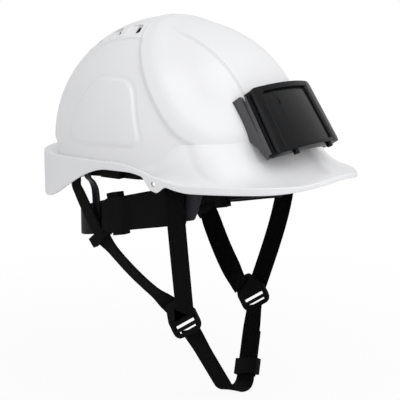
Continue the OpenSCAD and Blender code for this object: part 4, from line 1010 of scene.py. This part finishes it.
def weave_group():
    """Woven webbing on the piece's own UV: crosswise yarns times a herringbone of sine waves, plus stray fibres.

    Height is 0.7 cross + 0.45 fuzz, and the colour follows cross + 0.8 fuzz.
    """
    group, give, take = new_group("webbing_weave", {
        "UV": None, "Dark": (0.004, 0.004, 0.005, 1), "Light": (0.02, 0.02, 0.022, 1), "Yarn": 1300.0, "Rib": 620.0})
    split = add(group, "ShaderNodeSeparateXYZ", {0: give["UV"]})
    u, v = split.outputs[0], split.outputs[1]

    def wave(value, per_metre):
        phase = times(group, value, times(group, per_metre, 2 * math.pi))
        return ramp(group, math_node(group, "SINE", phase), -1, 1)

    lean = plus(group, v, times(group, math_node(group, "ABSOLUTE", u), 0.8))
    cross = times(group, wave(u, give["Yarn"]), wave(lean, give["Rib"]))
    fuzz = noise(group, add(group, "ShaderNodeCombineXYZ", {0: u, 1: v}).outputs[0], 2600.0, 3.0, 0.7)
    group.links.new(plus(group, times(group, cross, 0.7), times(group, fuzz, 0.45)), take["Height"])
    tone = ramp(group, plus(group, cross, times(group, fuzz, 0.8)), 0.35, 1.35)
    group.links.new(colour_mix(group, tone, give["Dark"], give["Light"]), take["Colour"])
    group.links.new(ramp(group, fuzz, 0.3, 0.7, 0.72, 0.95), take["Roughness"])
    return group


def cloth_group():
    """Knitted cloth: the height is 1 minus the distance from each loop's middle, with soft colour drift."""
    group, give, take = new_group("knit_cloth", {
        "Vector": None, "Dark": (0.006, 0.006, 0.007, 1), "Light": (0.03, 0.03, 0.032, 1), "Loops": 1100.0})
    cells = add(group, "ShaderNodeTexVoronoi", {"Vector": give["Vector"], "Scale": give["Loops"]}).outputs["Distance"]
    drift = noise(group, give["Vector"], 90.0, 3.0)
    tone = ramp(group, plus(group, cells, times(group, drift, 0.5)), 0.2, 1.1)
    group.links.new(colour_mix(group, tone, give["Light"], give["Dark"]), take["Colour"])
    group.links.new(ramp(group, drift, 0.3, 0.7, 0.8, 0.95), take["Roughness"])
    group.links.new(math_node(group, "SUBTRACT", 1.0, cells), take["Height"])
    return group


def grey(v, tint=(1, 1, 1)):
    """Opaque colour of one level, with a tint."""
    return (v * tint[0], v * tint[1], v * tint[2], 1)


GROUPS = {"moulded": moulded_group(), "weave": weave_group(), "knit": cloth_group()}


def finish_material(name, group, bump, height_mm, inputs, plain):
    """Material whose colour, roughness and bump come from a group, with the plain values on the shader itself."""
    mat = bpy.data.materials.new(name)
    mat.use_nodes = True
    tree = mat.node_tree
    shader = tree.nodes["Principled BSDF"]
    if group == "weave":
        source = add(tree, "ShaderNodeUVMap", uv_map="UVMap").outputs[0]
    else:
        source = add(tree, "ShaderNodeTexCoord").outputs["Object"]
    node = add(tree, "ShaderNodeGroup", inputs, node_tree=GROUPS[group])
    tree.links.new(source, node.inputs[0])
    tree.links.new(node.outputs["Colour"], shader.inputs["Base Color"])
    tree.links.new(node.outputs["Roughness"], shader.inputs["Roughness"])
    bumps = {"Strength": bump, "Distance": height_mm * MM, "Height": node.outputs["Height"]}
    tree.links.new(add(tree, "ShaderNodeBump", bumps).outputs[0], shader.inputs["Normal"])
    for key, value in plain.items():
        shader.inputs[key].default_value = value
    return mat


def moulded(name, bump, height_mm, colour, drift, grain, rough, scuff, plain):
    """Moulded finish: colour and its drift, grain per metre, the range of the roughness and the scuffs."""
    inputs = {"Colour": colour, "Drift": drift, "Grain Scale": grain, "Rough Low": rough[0], "Rough High": rough[1],
              "Scuff": scuff}
    return finish_material(name, "moulded", bump, height_mm, inputs, plain)


COOL, SLATE, WARM = (0.97, 0.98, 1.06), (0.9, 0.98, 1.25), (1, 0.99, 1.04)
SMOKE, INKY = (0.92, 0.98, 1.12), (0.88, 1, 1.2)
SHINE, SHEEN, SHEEN_ROUGH = "Specular IOR Level", "Sheen Weight", "Sheen Roughness"
COAT, COAT_ROUGH = "Coat Weight", "Coat Roughness"

WHITE_SHELL = moulded("white_shell_gloss", 0.05, 0.02, grey(0.88), grey(0.868, (1, 1, 1.005)),
                      700.0, (0.3, 0.38), 0.02, {COAT: 0.3, COAT_ROUGH: 0.16, SHINE: 0.4})
BLACK_MOULDED = moulded("black_harness_moulding", 0.25, 0.05, grey(0.0028, COOL), grey(0.002),
                        1500.0, (0.42, 0.6), 0.04, {SHINE: 0.07})
SLATE_MOULDED = moulded("slate_harness_moulding", 0.2, 0.05, grey(0.02, SLATE), grey(0.015, SLATE),
                        1300.0, (0.32, 0.48), 0.06, {SHINE: 0.25})
# Grey painted reflection on the holder's black plastic: it stands for the bright surroundings mirrored at a grazing
# angle.
PAINTED_REFLECTION_GREY = moulded("holder_painted_reflection", 0.3, 0.06, grey(0.095, WARM), grey(0.08, WARM),
                      1100.0, (0.4, 0.55), 0.1, {SHINE: 0.3})
HOLDER_BLACK = moulded("holder_cover_gloss", 0.08, 0.03, grey(0.0055, INKY), grey(0.0045, COOL),
                       900.0, (0.24, 0.34), 0.05, {COAT: 0.05, COAT_ROUGH: 0.1, SHINE: 0.1})
SMOKED = moulded("smoked_window", 0.03, 0.01, grey(0.005, SMOKE), grey(0.004, SMOKE),
                 500.0, (0.16, 0.24), 0.04, {COAT: 0.06, COAT_ROUGH: 0.05, SHINE: 0.14})
STEEL = moulded("blackened_pins", 0.15, 0.02, grey(0.03), grey(0.025),
                2200.0, (0.25, 0.4), 0.2, {"Metallic": 1.0})
WEBBING = finish_material(
    "black_webbing", "weave", 0.8, 0.35,
    {"Dark": grey(0.0012), "Light": grey(0.0052), "Yarn": 1000.0, "Rib": 560.0},
    {SHEEN: 0.015, SHEEN_ROUGH: 0.5, SHINE: 0.05})
CRADLE_WEBBING = finish_material(
    "cradle_webbing", "weave", 0.7, 0.3, {"Dark": grey(0.003), "Light": grey(0.014), "Yarn": 1200.0, "Rib": 700.0},
    {SHEEN: 0.06, SHEEN_ROUGH: 0.5, SHINE: 0.2})
PAD_CLOTH = finish_material(
    "pad_cloth", "knit", 0.6, 0.25, {"Dark": grey(0.004), "Light": grey(0.02), "Loops": 1300.0},
    {SHEEN: 0.15, SHEEN_ROUGH: 0.4, SHINE: 0.2})
# Painted shade on the inside of the crown: its dark warm colour, then the ranges of facing and of height over which it
# fades in.
PAINTED_CROWN_SHADE, CROWN_SHADE_FACING, CROWN_SHADE_LEVEL = grey(0.02, (1.3, 1, 0.8)), (-0.045, -0.07), (0.045, 0.065)


def shade_crown(mat):
    """Darkens the inside of the crown, which no light reaches, where the surface is high up and faces inwards.

    A surface faces inwards where the product of its place and its direction is below zero.
    """
    tree = mat.node_tree
    shader = tree.nodes["Principled BSDF"]
    spot = add(tree, "ShaderNodeTexCoord").outputs["Object"]
    normal = add(tree, "ShaderNodeNewGeometry").outputs["Normal"]
    facing = add(tree, "ShaderNodeVectorMath", {0: spot, 1: normal}, operation="DOT_PRODUCT").outputs["Value"]
    level = add(tree, "ShaderNodeSeparateXYZ", {0: spot}).outputs["Z"]
    mask = times(tree, ramp(tree, facing, *CROWN_SHADE_FACING), ramp(tree, level, *CROWN_SHADE_LEVEL))
    colour = shader.inputs["Base Color"].links[0].from_socket
    tree.links.new(colour_mix(tree, mask, colour, PAINTED_CROWN_SHADE), shader.inputs["Base Color"])


shade_crown(WHITE_SHELL)


def set_material(obj, mat):
    """One material on the whole piece."""
    obj.data.materials.clear()
    obj.data.materials.append(mat)


def place(obj, mat, node):
    """A new piece that stands for a CAD node: it takes the material and the node's body, and the node is hidden."""
    set_material(obj, mat)
    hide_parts(node)
    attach(obj, BODY_OF[node])
    return obj


def place_bending(obj, mat, node):
    """A new piece between two bodies: it takes the material, hides the node and keeps its place in its points, with no
    body of its own.
    """
    set_material(obj, mat)
    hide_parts(node)
    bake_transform(obj)
    return obj


def eased(node, name, mat, width):
    """A merged copy of a CAD node with its flat faces joined and its edges rounded, in the node's place."""
    bm = bmesh.new()
    bm.from_mesh(frame["nodes"][node].data)
    bmesh.ops.remove_doubles(bm, verts=bm.verts, dist=1e-6)
    bmesh.ops.dissolve_limit(bm, angle_limit=math.radians(1), verts=bm.verts, edges=bm.edges)
    mesh = bpy.data.meshes.new(name)
    bm.to_mesh(mesh)
    bm.free()
    obj = bpy.data.objects.new(name, mesh)
    bpy.context.scene.collection.objects.link(obj)
    step = obj.modifiers.new("edge", "BEVEL")
    step.width = width * MM
    step.segments = 2
    step.limit_method = "ANGLE"
    step.angle_limit = math.radians(30)
    step.use_clamp_overlap = True
    step.harden_normals = False
    applied(obj)
    shade(obj, 40)
    return place(obj, mat, node)


# The cheeks' flare outwards, and back at their foot and head. Then each groove's depth, width and Y, the cover's
# lean over its height, and the half width and middle height that the grooves are cut at, all in the holder's frame.
FLARE_OUT, FLARE_BACK_LOW, FLARE_BACK_HIGH = 3.4, 2.6, 3.8
FLARE_DEPTH, FLARE_SIDES, FLARE_FOOT = (17.9, 21.5), (44, 45), (17, 27)
FLARE_OUT_RUN, FLARE_BACK_RUN = (22, 50), (28, 57)
GROOVES, COVER_LEAN, GROOVE_X, GROOVE_Z = ((3.0, 1.1, 8.4), (2.0, 0.6, 12.1)), (3.3, 58), 46.1, 29
# The panel below the buckle's slots and the nick in the window's corner
PANEL_SUNK, PANEL_OUTLINE = 0.5, [[-8, -5.2], [9.6, -5.2], [4, -15.6], [-3.4, -15.6]]
NICK_LINE, NICK_HALF, NICK_DEPTH = [[-19, 47.1], [-16.6, 43.6], [-17.9, 39.5]], 0.55, 3.7


def flare_cheeks(obj):
    """Turns the cheeks' outer faces out and back to the dome, by cubic steps of the depth and the height."""
    q = in_holder(read_points(obj.data))
    share = smooth(*FLARE_DEPTH, q[:, 1]) * smooth(*FLARE_SIDES, np.abs(q[:, 0])) * smooth(*FLARE_FOOT, q[:, 2])
    q[:, 0] += np.sign(q[:, 0]) * FLARE_OUT * share * smooth(*FLARE_OUT_RUN, q[:, 2])
    q[:, 1] += mix(FLARE_BACK_LOW, FLARE_BACK_HIGH, smooth(*FLARE_BACK_RUN, q[:, 2])) * share
    write_points(obj.data, holder_point(q))
    shade(obj, 30)


def second_tone(obj, mat, chosen):
    """A second material on the faces whose middle and direction, in the holder's frame, are chosen."""
    obj.data.materials.append(mat)
    faces = obj.data.polygons
    middle, normal = np.empty((2, len(faces) * 3), np.float32)
    faces.foreach_get("center", middle)
    faces.foreach_get("normal", normal)
    middle = in_holder(middle.reshape(-1, 3).astype(float) / MM)
    normal = normal.reshape(-1, 3).astype(float) @ turned("x", -COVER_TILT)
    faces.foreach_set("material_index", chosen(middle.T, normal.T).astype(np.int32))
    obj.data.update()


def black_on_base(middle, normal):
    """The tray between the cheeks, the cheeks' upper faces near the top and all above the hinge are black."""
    return ((normal[2] > 0.4) & (middle[2] > 45)) | (np.abs(middle[0]) < 42) | (middle[2] > 56.2)


def painted_reflection_on_cover(middle, normal):
    """The rear of the cover's sides, the window recess's side walls and the rounded front edges take grey: a painted
    reflection on the sides and walls, and a painted highlight on the front edges.
    """
    out, across = np.abs(middle[0]), np.abs(normal[0])
    rear_side = (across > 0.9) & (middle[1] > 12.3)
    # The grey on the rounded front edges is a painted highlight.
    front_edge = (across > 0.45) & (across < 0.93) & (normal[1] < -0.3)
    recess = (out > 33) & (out < 40) & (across > 0.7) & (middle[0] * normal[0] < 0)
    return ((out > 42) & (rear_side | front_edge)) | recess


def groove_cover(obj):
    """Two fine grooves down each side of the cover, which leans in by 3.3 mm over its height."""
    cutters = []
    for side in (RIGHT, LEFT):
        turn = turned("x", -COVER_TILT) @ turned("y", -side * math.degrees(math.atan2(*COVER_LEAN)))
        for depth, wide, y in GROOVES:
            at = holder_point([side * GROOVE_X, y, GROOVE_Z])
            cutters.append(box_cutter("groove", (depth, wide, 70), at, turn, 0.05))
    cut(obj, cutters, 40)


def sink_panel(obj, side):
    """Sinks the three-cornered panel below the buckle's slots by half a millimetre, on the face away from the head."""
    turn = turned("x", 180 - math.degrees(math.atan2(0.54, 0.84))) @ turned("z", 90) @ turned("x", 90)
    floor = BUCKLE_T / 2 - PANEL_SUNK
    low, high = (-3, -floor) if side == RIGHT else (floor, 3)
    cut(obj, [prism("panel", PANEL_OUTLINE, low, high, mirrored(BUCKLE_AT, side), turn)], 40)


def nick_window(obj):
    """A short curved nick near the window's upper corner, whose half width follows part of a sine wave."""
    x, z = through(NICK_LINE, 12).T
    half = NICK_HALF * np.sin(np.linspace(0.2, math.pi - 0.5, 12))
    outline = np.vstack([stack(x + half, -z), stack(x - half, -z)[::-1]])
    turn = turned("x", -COVER_TILT - 90)
    cut(obj, [prism("nick", outline, 0, NICK_DEPTH, [0, COVER_Y, COVER_Z], turn)], 40)


# Camera, light and floor


# The view: its turn from the front, its rise, its distance, its aim to the right and up, the lens and the film's width
VIEW_ROUND, VIEW_UP, VIEW_FAR, AIM_RIGHT, AIM_UP, LENS, FILM = -53.4, 10.8, 1022, 18.5, -39.2, 103.0, 36
SKY_TINT, SKY_LIGHT, SKY_IN_GLOSS = (0.975, 0.98, 1.0, 1), 0.67, 0.3
WHITE = (1, 1, 1, 1)
# Each lamp's place as shares of the view's back, right and up directions, its distance in metres, size and power
LAMPS = (("key", (0.7, 0.55, 1.1), 1.1, (1.0, 1.0), 4.6),
         ("fill", (0.9, -1.0, 0.35), 1.1, (0.9, 0.9), 1.2),
         ("front", (0.75, 0.75, 0.42), 1.2, (1.1, 0.8), 3.6))
LAMP_AIM, FLOOR_HALF, FLOOR_TINT = Vector((0, 0, 0.02)), 6000.0, (0.86, 0.86, 0.87, 1)


def make_camera():
    """Camera at the photograph's angle: 53.4 degrees round from the front towards the wearer's right, 10.8 up."""
    a, e = math.radians(VIEW_ROUND), math.radians(VIEW_UP)
    back = np.array([math.sin(a) * math.cos(e), -math.cos(a) * math.cos(e), math.sin(e)])
    right = np.array([math.cos(a), math.sin(a), 0])
    up = np.cross(back, right)
    data = bpy.data.cameras.new("view")
    data.sensor_width = FILM
    data.lens = LENS
    data.clip_start, data.clip_end = 0.05, 60
    cam = bpy.data.objects.new("view", data)
    bpy.context.scene.collection.objects.link(cam)
    at = (AIM_RIGHT * right + AIM_UP * up + VIEW_FAR * back) * MM
    m = np.eye(4)
    m[:3] = np.column_stack([right, up, back, at])
    cam.matrix_world = Matrix(m.tolist())
    bpy.context.scene.camera = cam
    return back, right, up


def make_light(back, right, up):
    """A white world, a broad key lamp above the view's right, a weak fill from its left and a low lamp to its right."""
    world = bpy.data.worlds.new("studio")
    bpy.context.scene.world = world
    world.use_nodes = True
    tree = world.node_tree
    tree.nodes.clear()
    path = add(tree, "ShaderNodeLightPath")
    seen = math_node(tree, "MAXIMUM", path.outputs["Is Camera Ray"], path.outputs["Is Transmission Ray"])
    seen = math_node(tree, "MAXIMUM", seen, times(tree, path.outputs["Is Glossy Ray"], SKY_IN_GLOSS))
    lit = add(tree, "ShaderNodeBackground", {0: SKY_TINT, 1: SKY_LIGHT})
    shown = add(tree, "ShaderNodeBackground", {0: WHITE, 1: 1.0})
    mixed = add(tree, "ShaderNodeMixShader", {0: seen, 1: lit.outputs[0], 2: shown.outputs[0]})
    out = add(tree, "ShaderNodeOutputWorld")
    tree.links.new(mixed.outputs[0], out.inputs[0])
    for name, shares, far, size, power in LAMPS:
        data = bpy.data.lights.new(name, "AREA")
        data.shape = "RECTANGLE"
        data.size, data.size_y = size
        data.energy = power
        obj = bpy.data.objects.new(name, data)
        bpy.context.scene.collection.objects.link(obj)
        obj.location = (back * shares[0] + right * shares[1] + up * shares[2]) * far
        obj.rotation_mode = "QUATERNION"
        obj.rotation_quaternion = (LAMP_AIM - obj.location).to_track_quat("-Z", "Y")


def make_floor():
    """Pale floor just under the chin strap: it looks white to the camera and keeps a soft shadow."""
    z, r = CHIN_Z - WEB_T, FLOOR_HALF
    obj = mesh_object("studio_floor", [[-r, -r, z], [r, -r, z], [r, r, z], [-r, r, z]], [[0, 1, 2, 3]])
    mat = bpy.data.materials.new("pale_floor")
    mat.use_nodes = True
    tree = mat.node_tree
    shader = tree.nodes["Principled BSDF"]
    shader.inputs["Base Color"].default_value = FLOOR_TINT
    shader.inputs["Roughness"].default_value = 0.9
    glow = add(tree, "ShaderNodeEmission", {0: WHITE, 1: 1.0})
    path = add(tree, "ShaderNodeLightPath")
    spot = add(tree, "ShaderNodeTexCoord").outputs["Object"]
    far = add(tree, "ShaderNodeVectorMath", {0: spot}, operation="LENGTH").outputs["Value"]
    seen = times(tree, path.outputs["Is Camera Ray"], ramp(tree, far, 0.25, 0.6, 0.92, 1.0))
    both = add(tree, "ShaderNodeMixShader", {0: seen, 1: shader.outputs[0], 2: glow.outputs[0]})
    tree.links.new(both.outputs[0], tree.nodes["Material Output"].inputs["Surface"])
    set_material(obj, mat)


make_light(*make_camera())
make_floor()
bpy.context.scene.view_settings.view_transform = "Standard"

# The pieces

place(make_shell(), WHITE_SHELL, "shell")
place(make_ring(), BLACK_MOULDED, "cradle_ring")
place(make_headband(), SLATE_MOULDED, "headband")
place(make_yoke(), BLACK_MOULDED, "nape_yoke")
for node, name, first, second, first_top, second_top, crown in (
        ("cradle_strap_cross", "crown_web_cross", EAR_A, -EAR_A, EAR_TOP, EAR_TOP, CRADLE_H),
        ("cradle_strap_front_right", "crown_web_front_right", FRONT_A, -REAR_A, FRONT_TOP, REAR_TOP, CRADLE_H - 5),
        ("cradle_strap_front_left", "crown_web_front_left", -FRONT_A, REAR_A, FRONT_TOP, REAR_TOP, CRADLE_H + 6)):
    place(make_cradle_strap(name, first, second, first_top, second_top, crown), CRADLE_WEBBING, node)
place(make_chin_strap(), WEBBING, "chin_strap")
place(make_tail(), WEBBING, "strap_tail")

for side in (RIGHT, LEFT):
    word = side_name(side)
    place(make_side_band(side), BLACK_MOULDED, "side_band_" + word)
    place(make_front_strap(side), WEBBING, "front_strap_" + word)
    place_bending(make_rear_upper(side), WEBBING, "rear_strap_upper_" + word)
    place_bending(make_rear_lower(side), WEBBING, "rear_strap_lower_" + word)
    place_bending(make_arm(side), SLATE_MOULDED, "yoke_arm_" + word)
    sink_panel(eased("y_buckle_" + word, "web_buckle_" + word, BLACK_MOULDED, 0.5), side)
    for node, name, mat, width in (("size_keeper_", "band_keeper_", BLACK_MOULDED, 0.5),
                                   ("strap_guide_", "web_loop_", BLACK_MOULDED, 0.35),
                                   ("cover_latch_", "cover_nub_", HOLDER_BLACK, 0.5),
                                   ("hinge_pin_", "pivot_pin_", STEEL, 0.15),
                                   ("holder_rivet_", "base_rivet_", STEEL, 0.25),
                                   ("hanger_front_", "hanger_block_front_", BLACK_MOULDED, 0.4),
                                   ("hanger_ear_", "hanger_block_ear_", BLACK_MOULDED, 0.4),
                                   ("hanger_rear_", "hanger_block_rear_", BLACK_MOULDED, 0.4)):
        eased(node + word, name + word, mat, width)


def brow_low(y):
    """Lower edge of the brow pad."""
    return FRONT_LOW + 1 + 0 * y


def brow_high(y):
    """Upper edge of the brow pad."""
    return FRONT_HIGH - 1 + 0 * y


def nape_low(y):
    """Lower edge of the nape pad."""
    return band_z(y) - REAR_H / 2 - 2


def nape_high(y):
    """Upper edge of the nape pad."""
    return band_z(y) + REAR_H / 2 - 8


def finished_pad(name, rings, low, high, band):
    obj = make_pad(name, rings)
    sew(obj, low, high, *inflate(obj), band)
    return obj


def make_brow_pad():
    """The sweatband's pad on the inner face of the headband's front."""
    half, front, t = HEAD_HALF - FIT, HEAD_FRONT - FIT, SWEAT_T
    rings = hoop_rings(np.linspace(-65, 65, 150), half - t, front - t, HEAD_REAR, t, brow_low, brow_high)
    return finished_pad("brow_pad", rings, brow_low, brow_high, (half, STRAIGHT_FRONT, front + STRAIGHT_FRONT))


def make_nape_cushion():
    """The pad on the inner face of the nape yoke's back."""
    half, rear, t = HEAD_HALF - FIT - YOKE_T - FIT, HEAD_REAR - FIT, NAPE_PAD_T
    rings = hoop_back(np.linspace(-219, -141, 100), half - t, rear - t, t, nape_low, nape_high)
    return finished_pad("nape_cushion", rings, nape_low, nape_high, (half, STRAIGHT_REAR, rear - STRAIGHT_REAR))


place(make_brow_pad(), PAD_CLOTH, "sweatband")
place(make_nape_cushion(), PAD_CLOTH, "nape_pad")

eased("strap_slider", "web_slider", BLACK_MOULDED, 0.6)
# The base's grey is a painted reflection; the tray, the cheeks' upper faces near the top and all above the hinge keep
# the black plastic.
base = eased("badge_base", "holder_base", PAINTED_REFLECTION_GREY, 0.4)
flare_cheeks(base)
second_tone(base, HOLDER_BLACK, black_on_base)
cover = eased("badge_cover", "holder_cover", HOLDER_BLACK, 0.5)
groove_cover(cover)
# Grey painted reflection on strips of the cover, and a painted highlight on its front edges.
second_tone(cover, PAINTED_REFLECTION_GREY, painted_reflection_on_cover)
nick_window(eased("badge_window", "holder_window", SMOKED, 0.2))
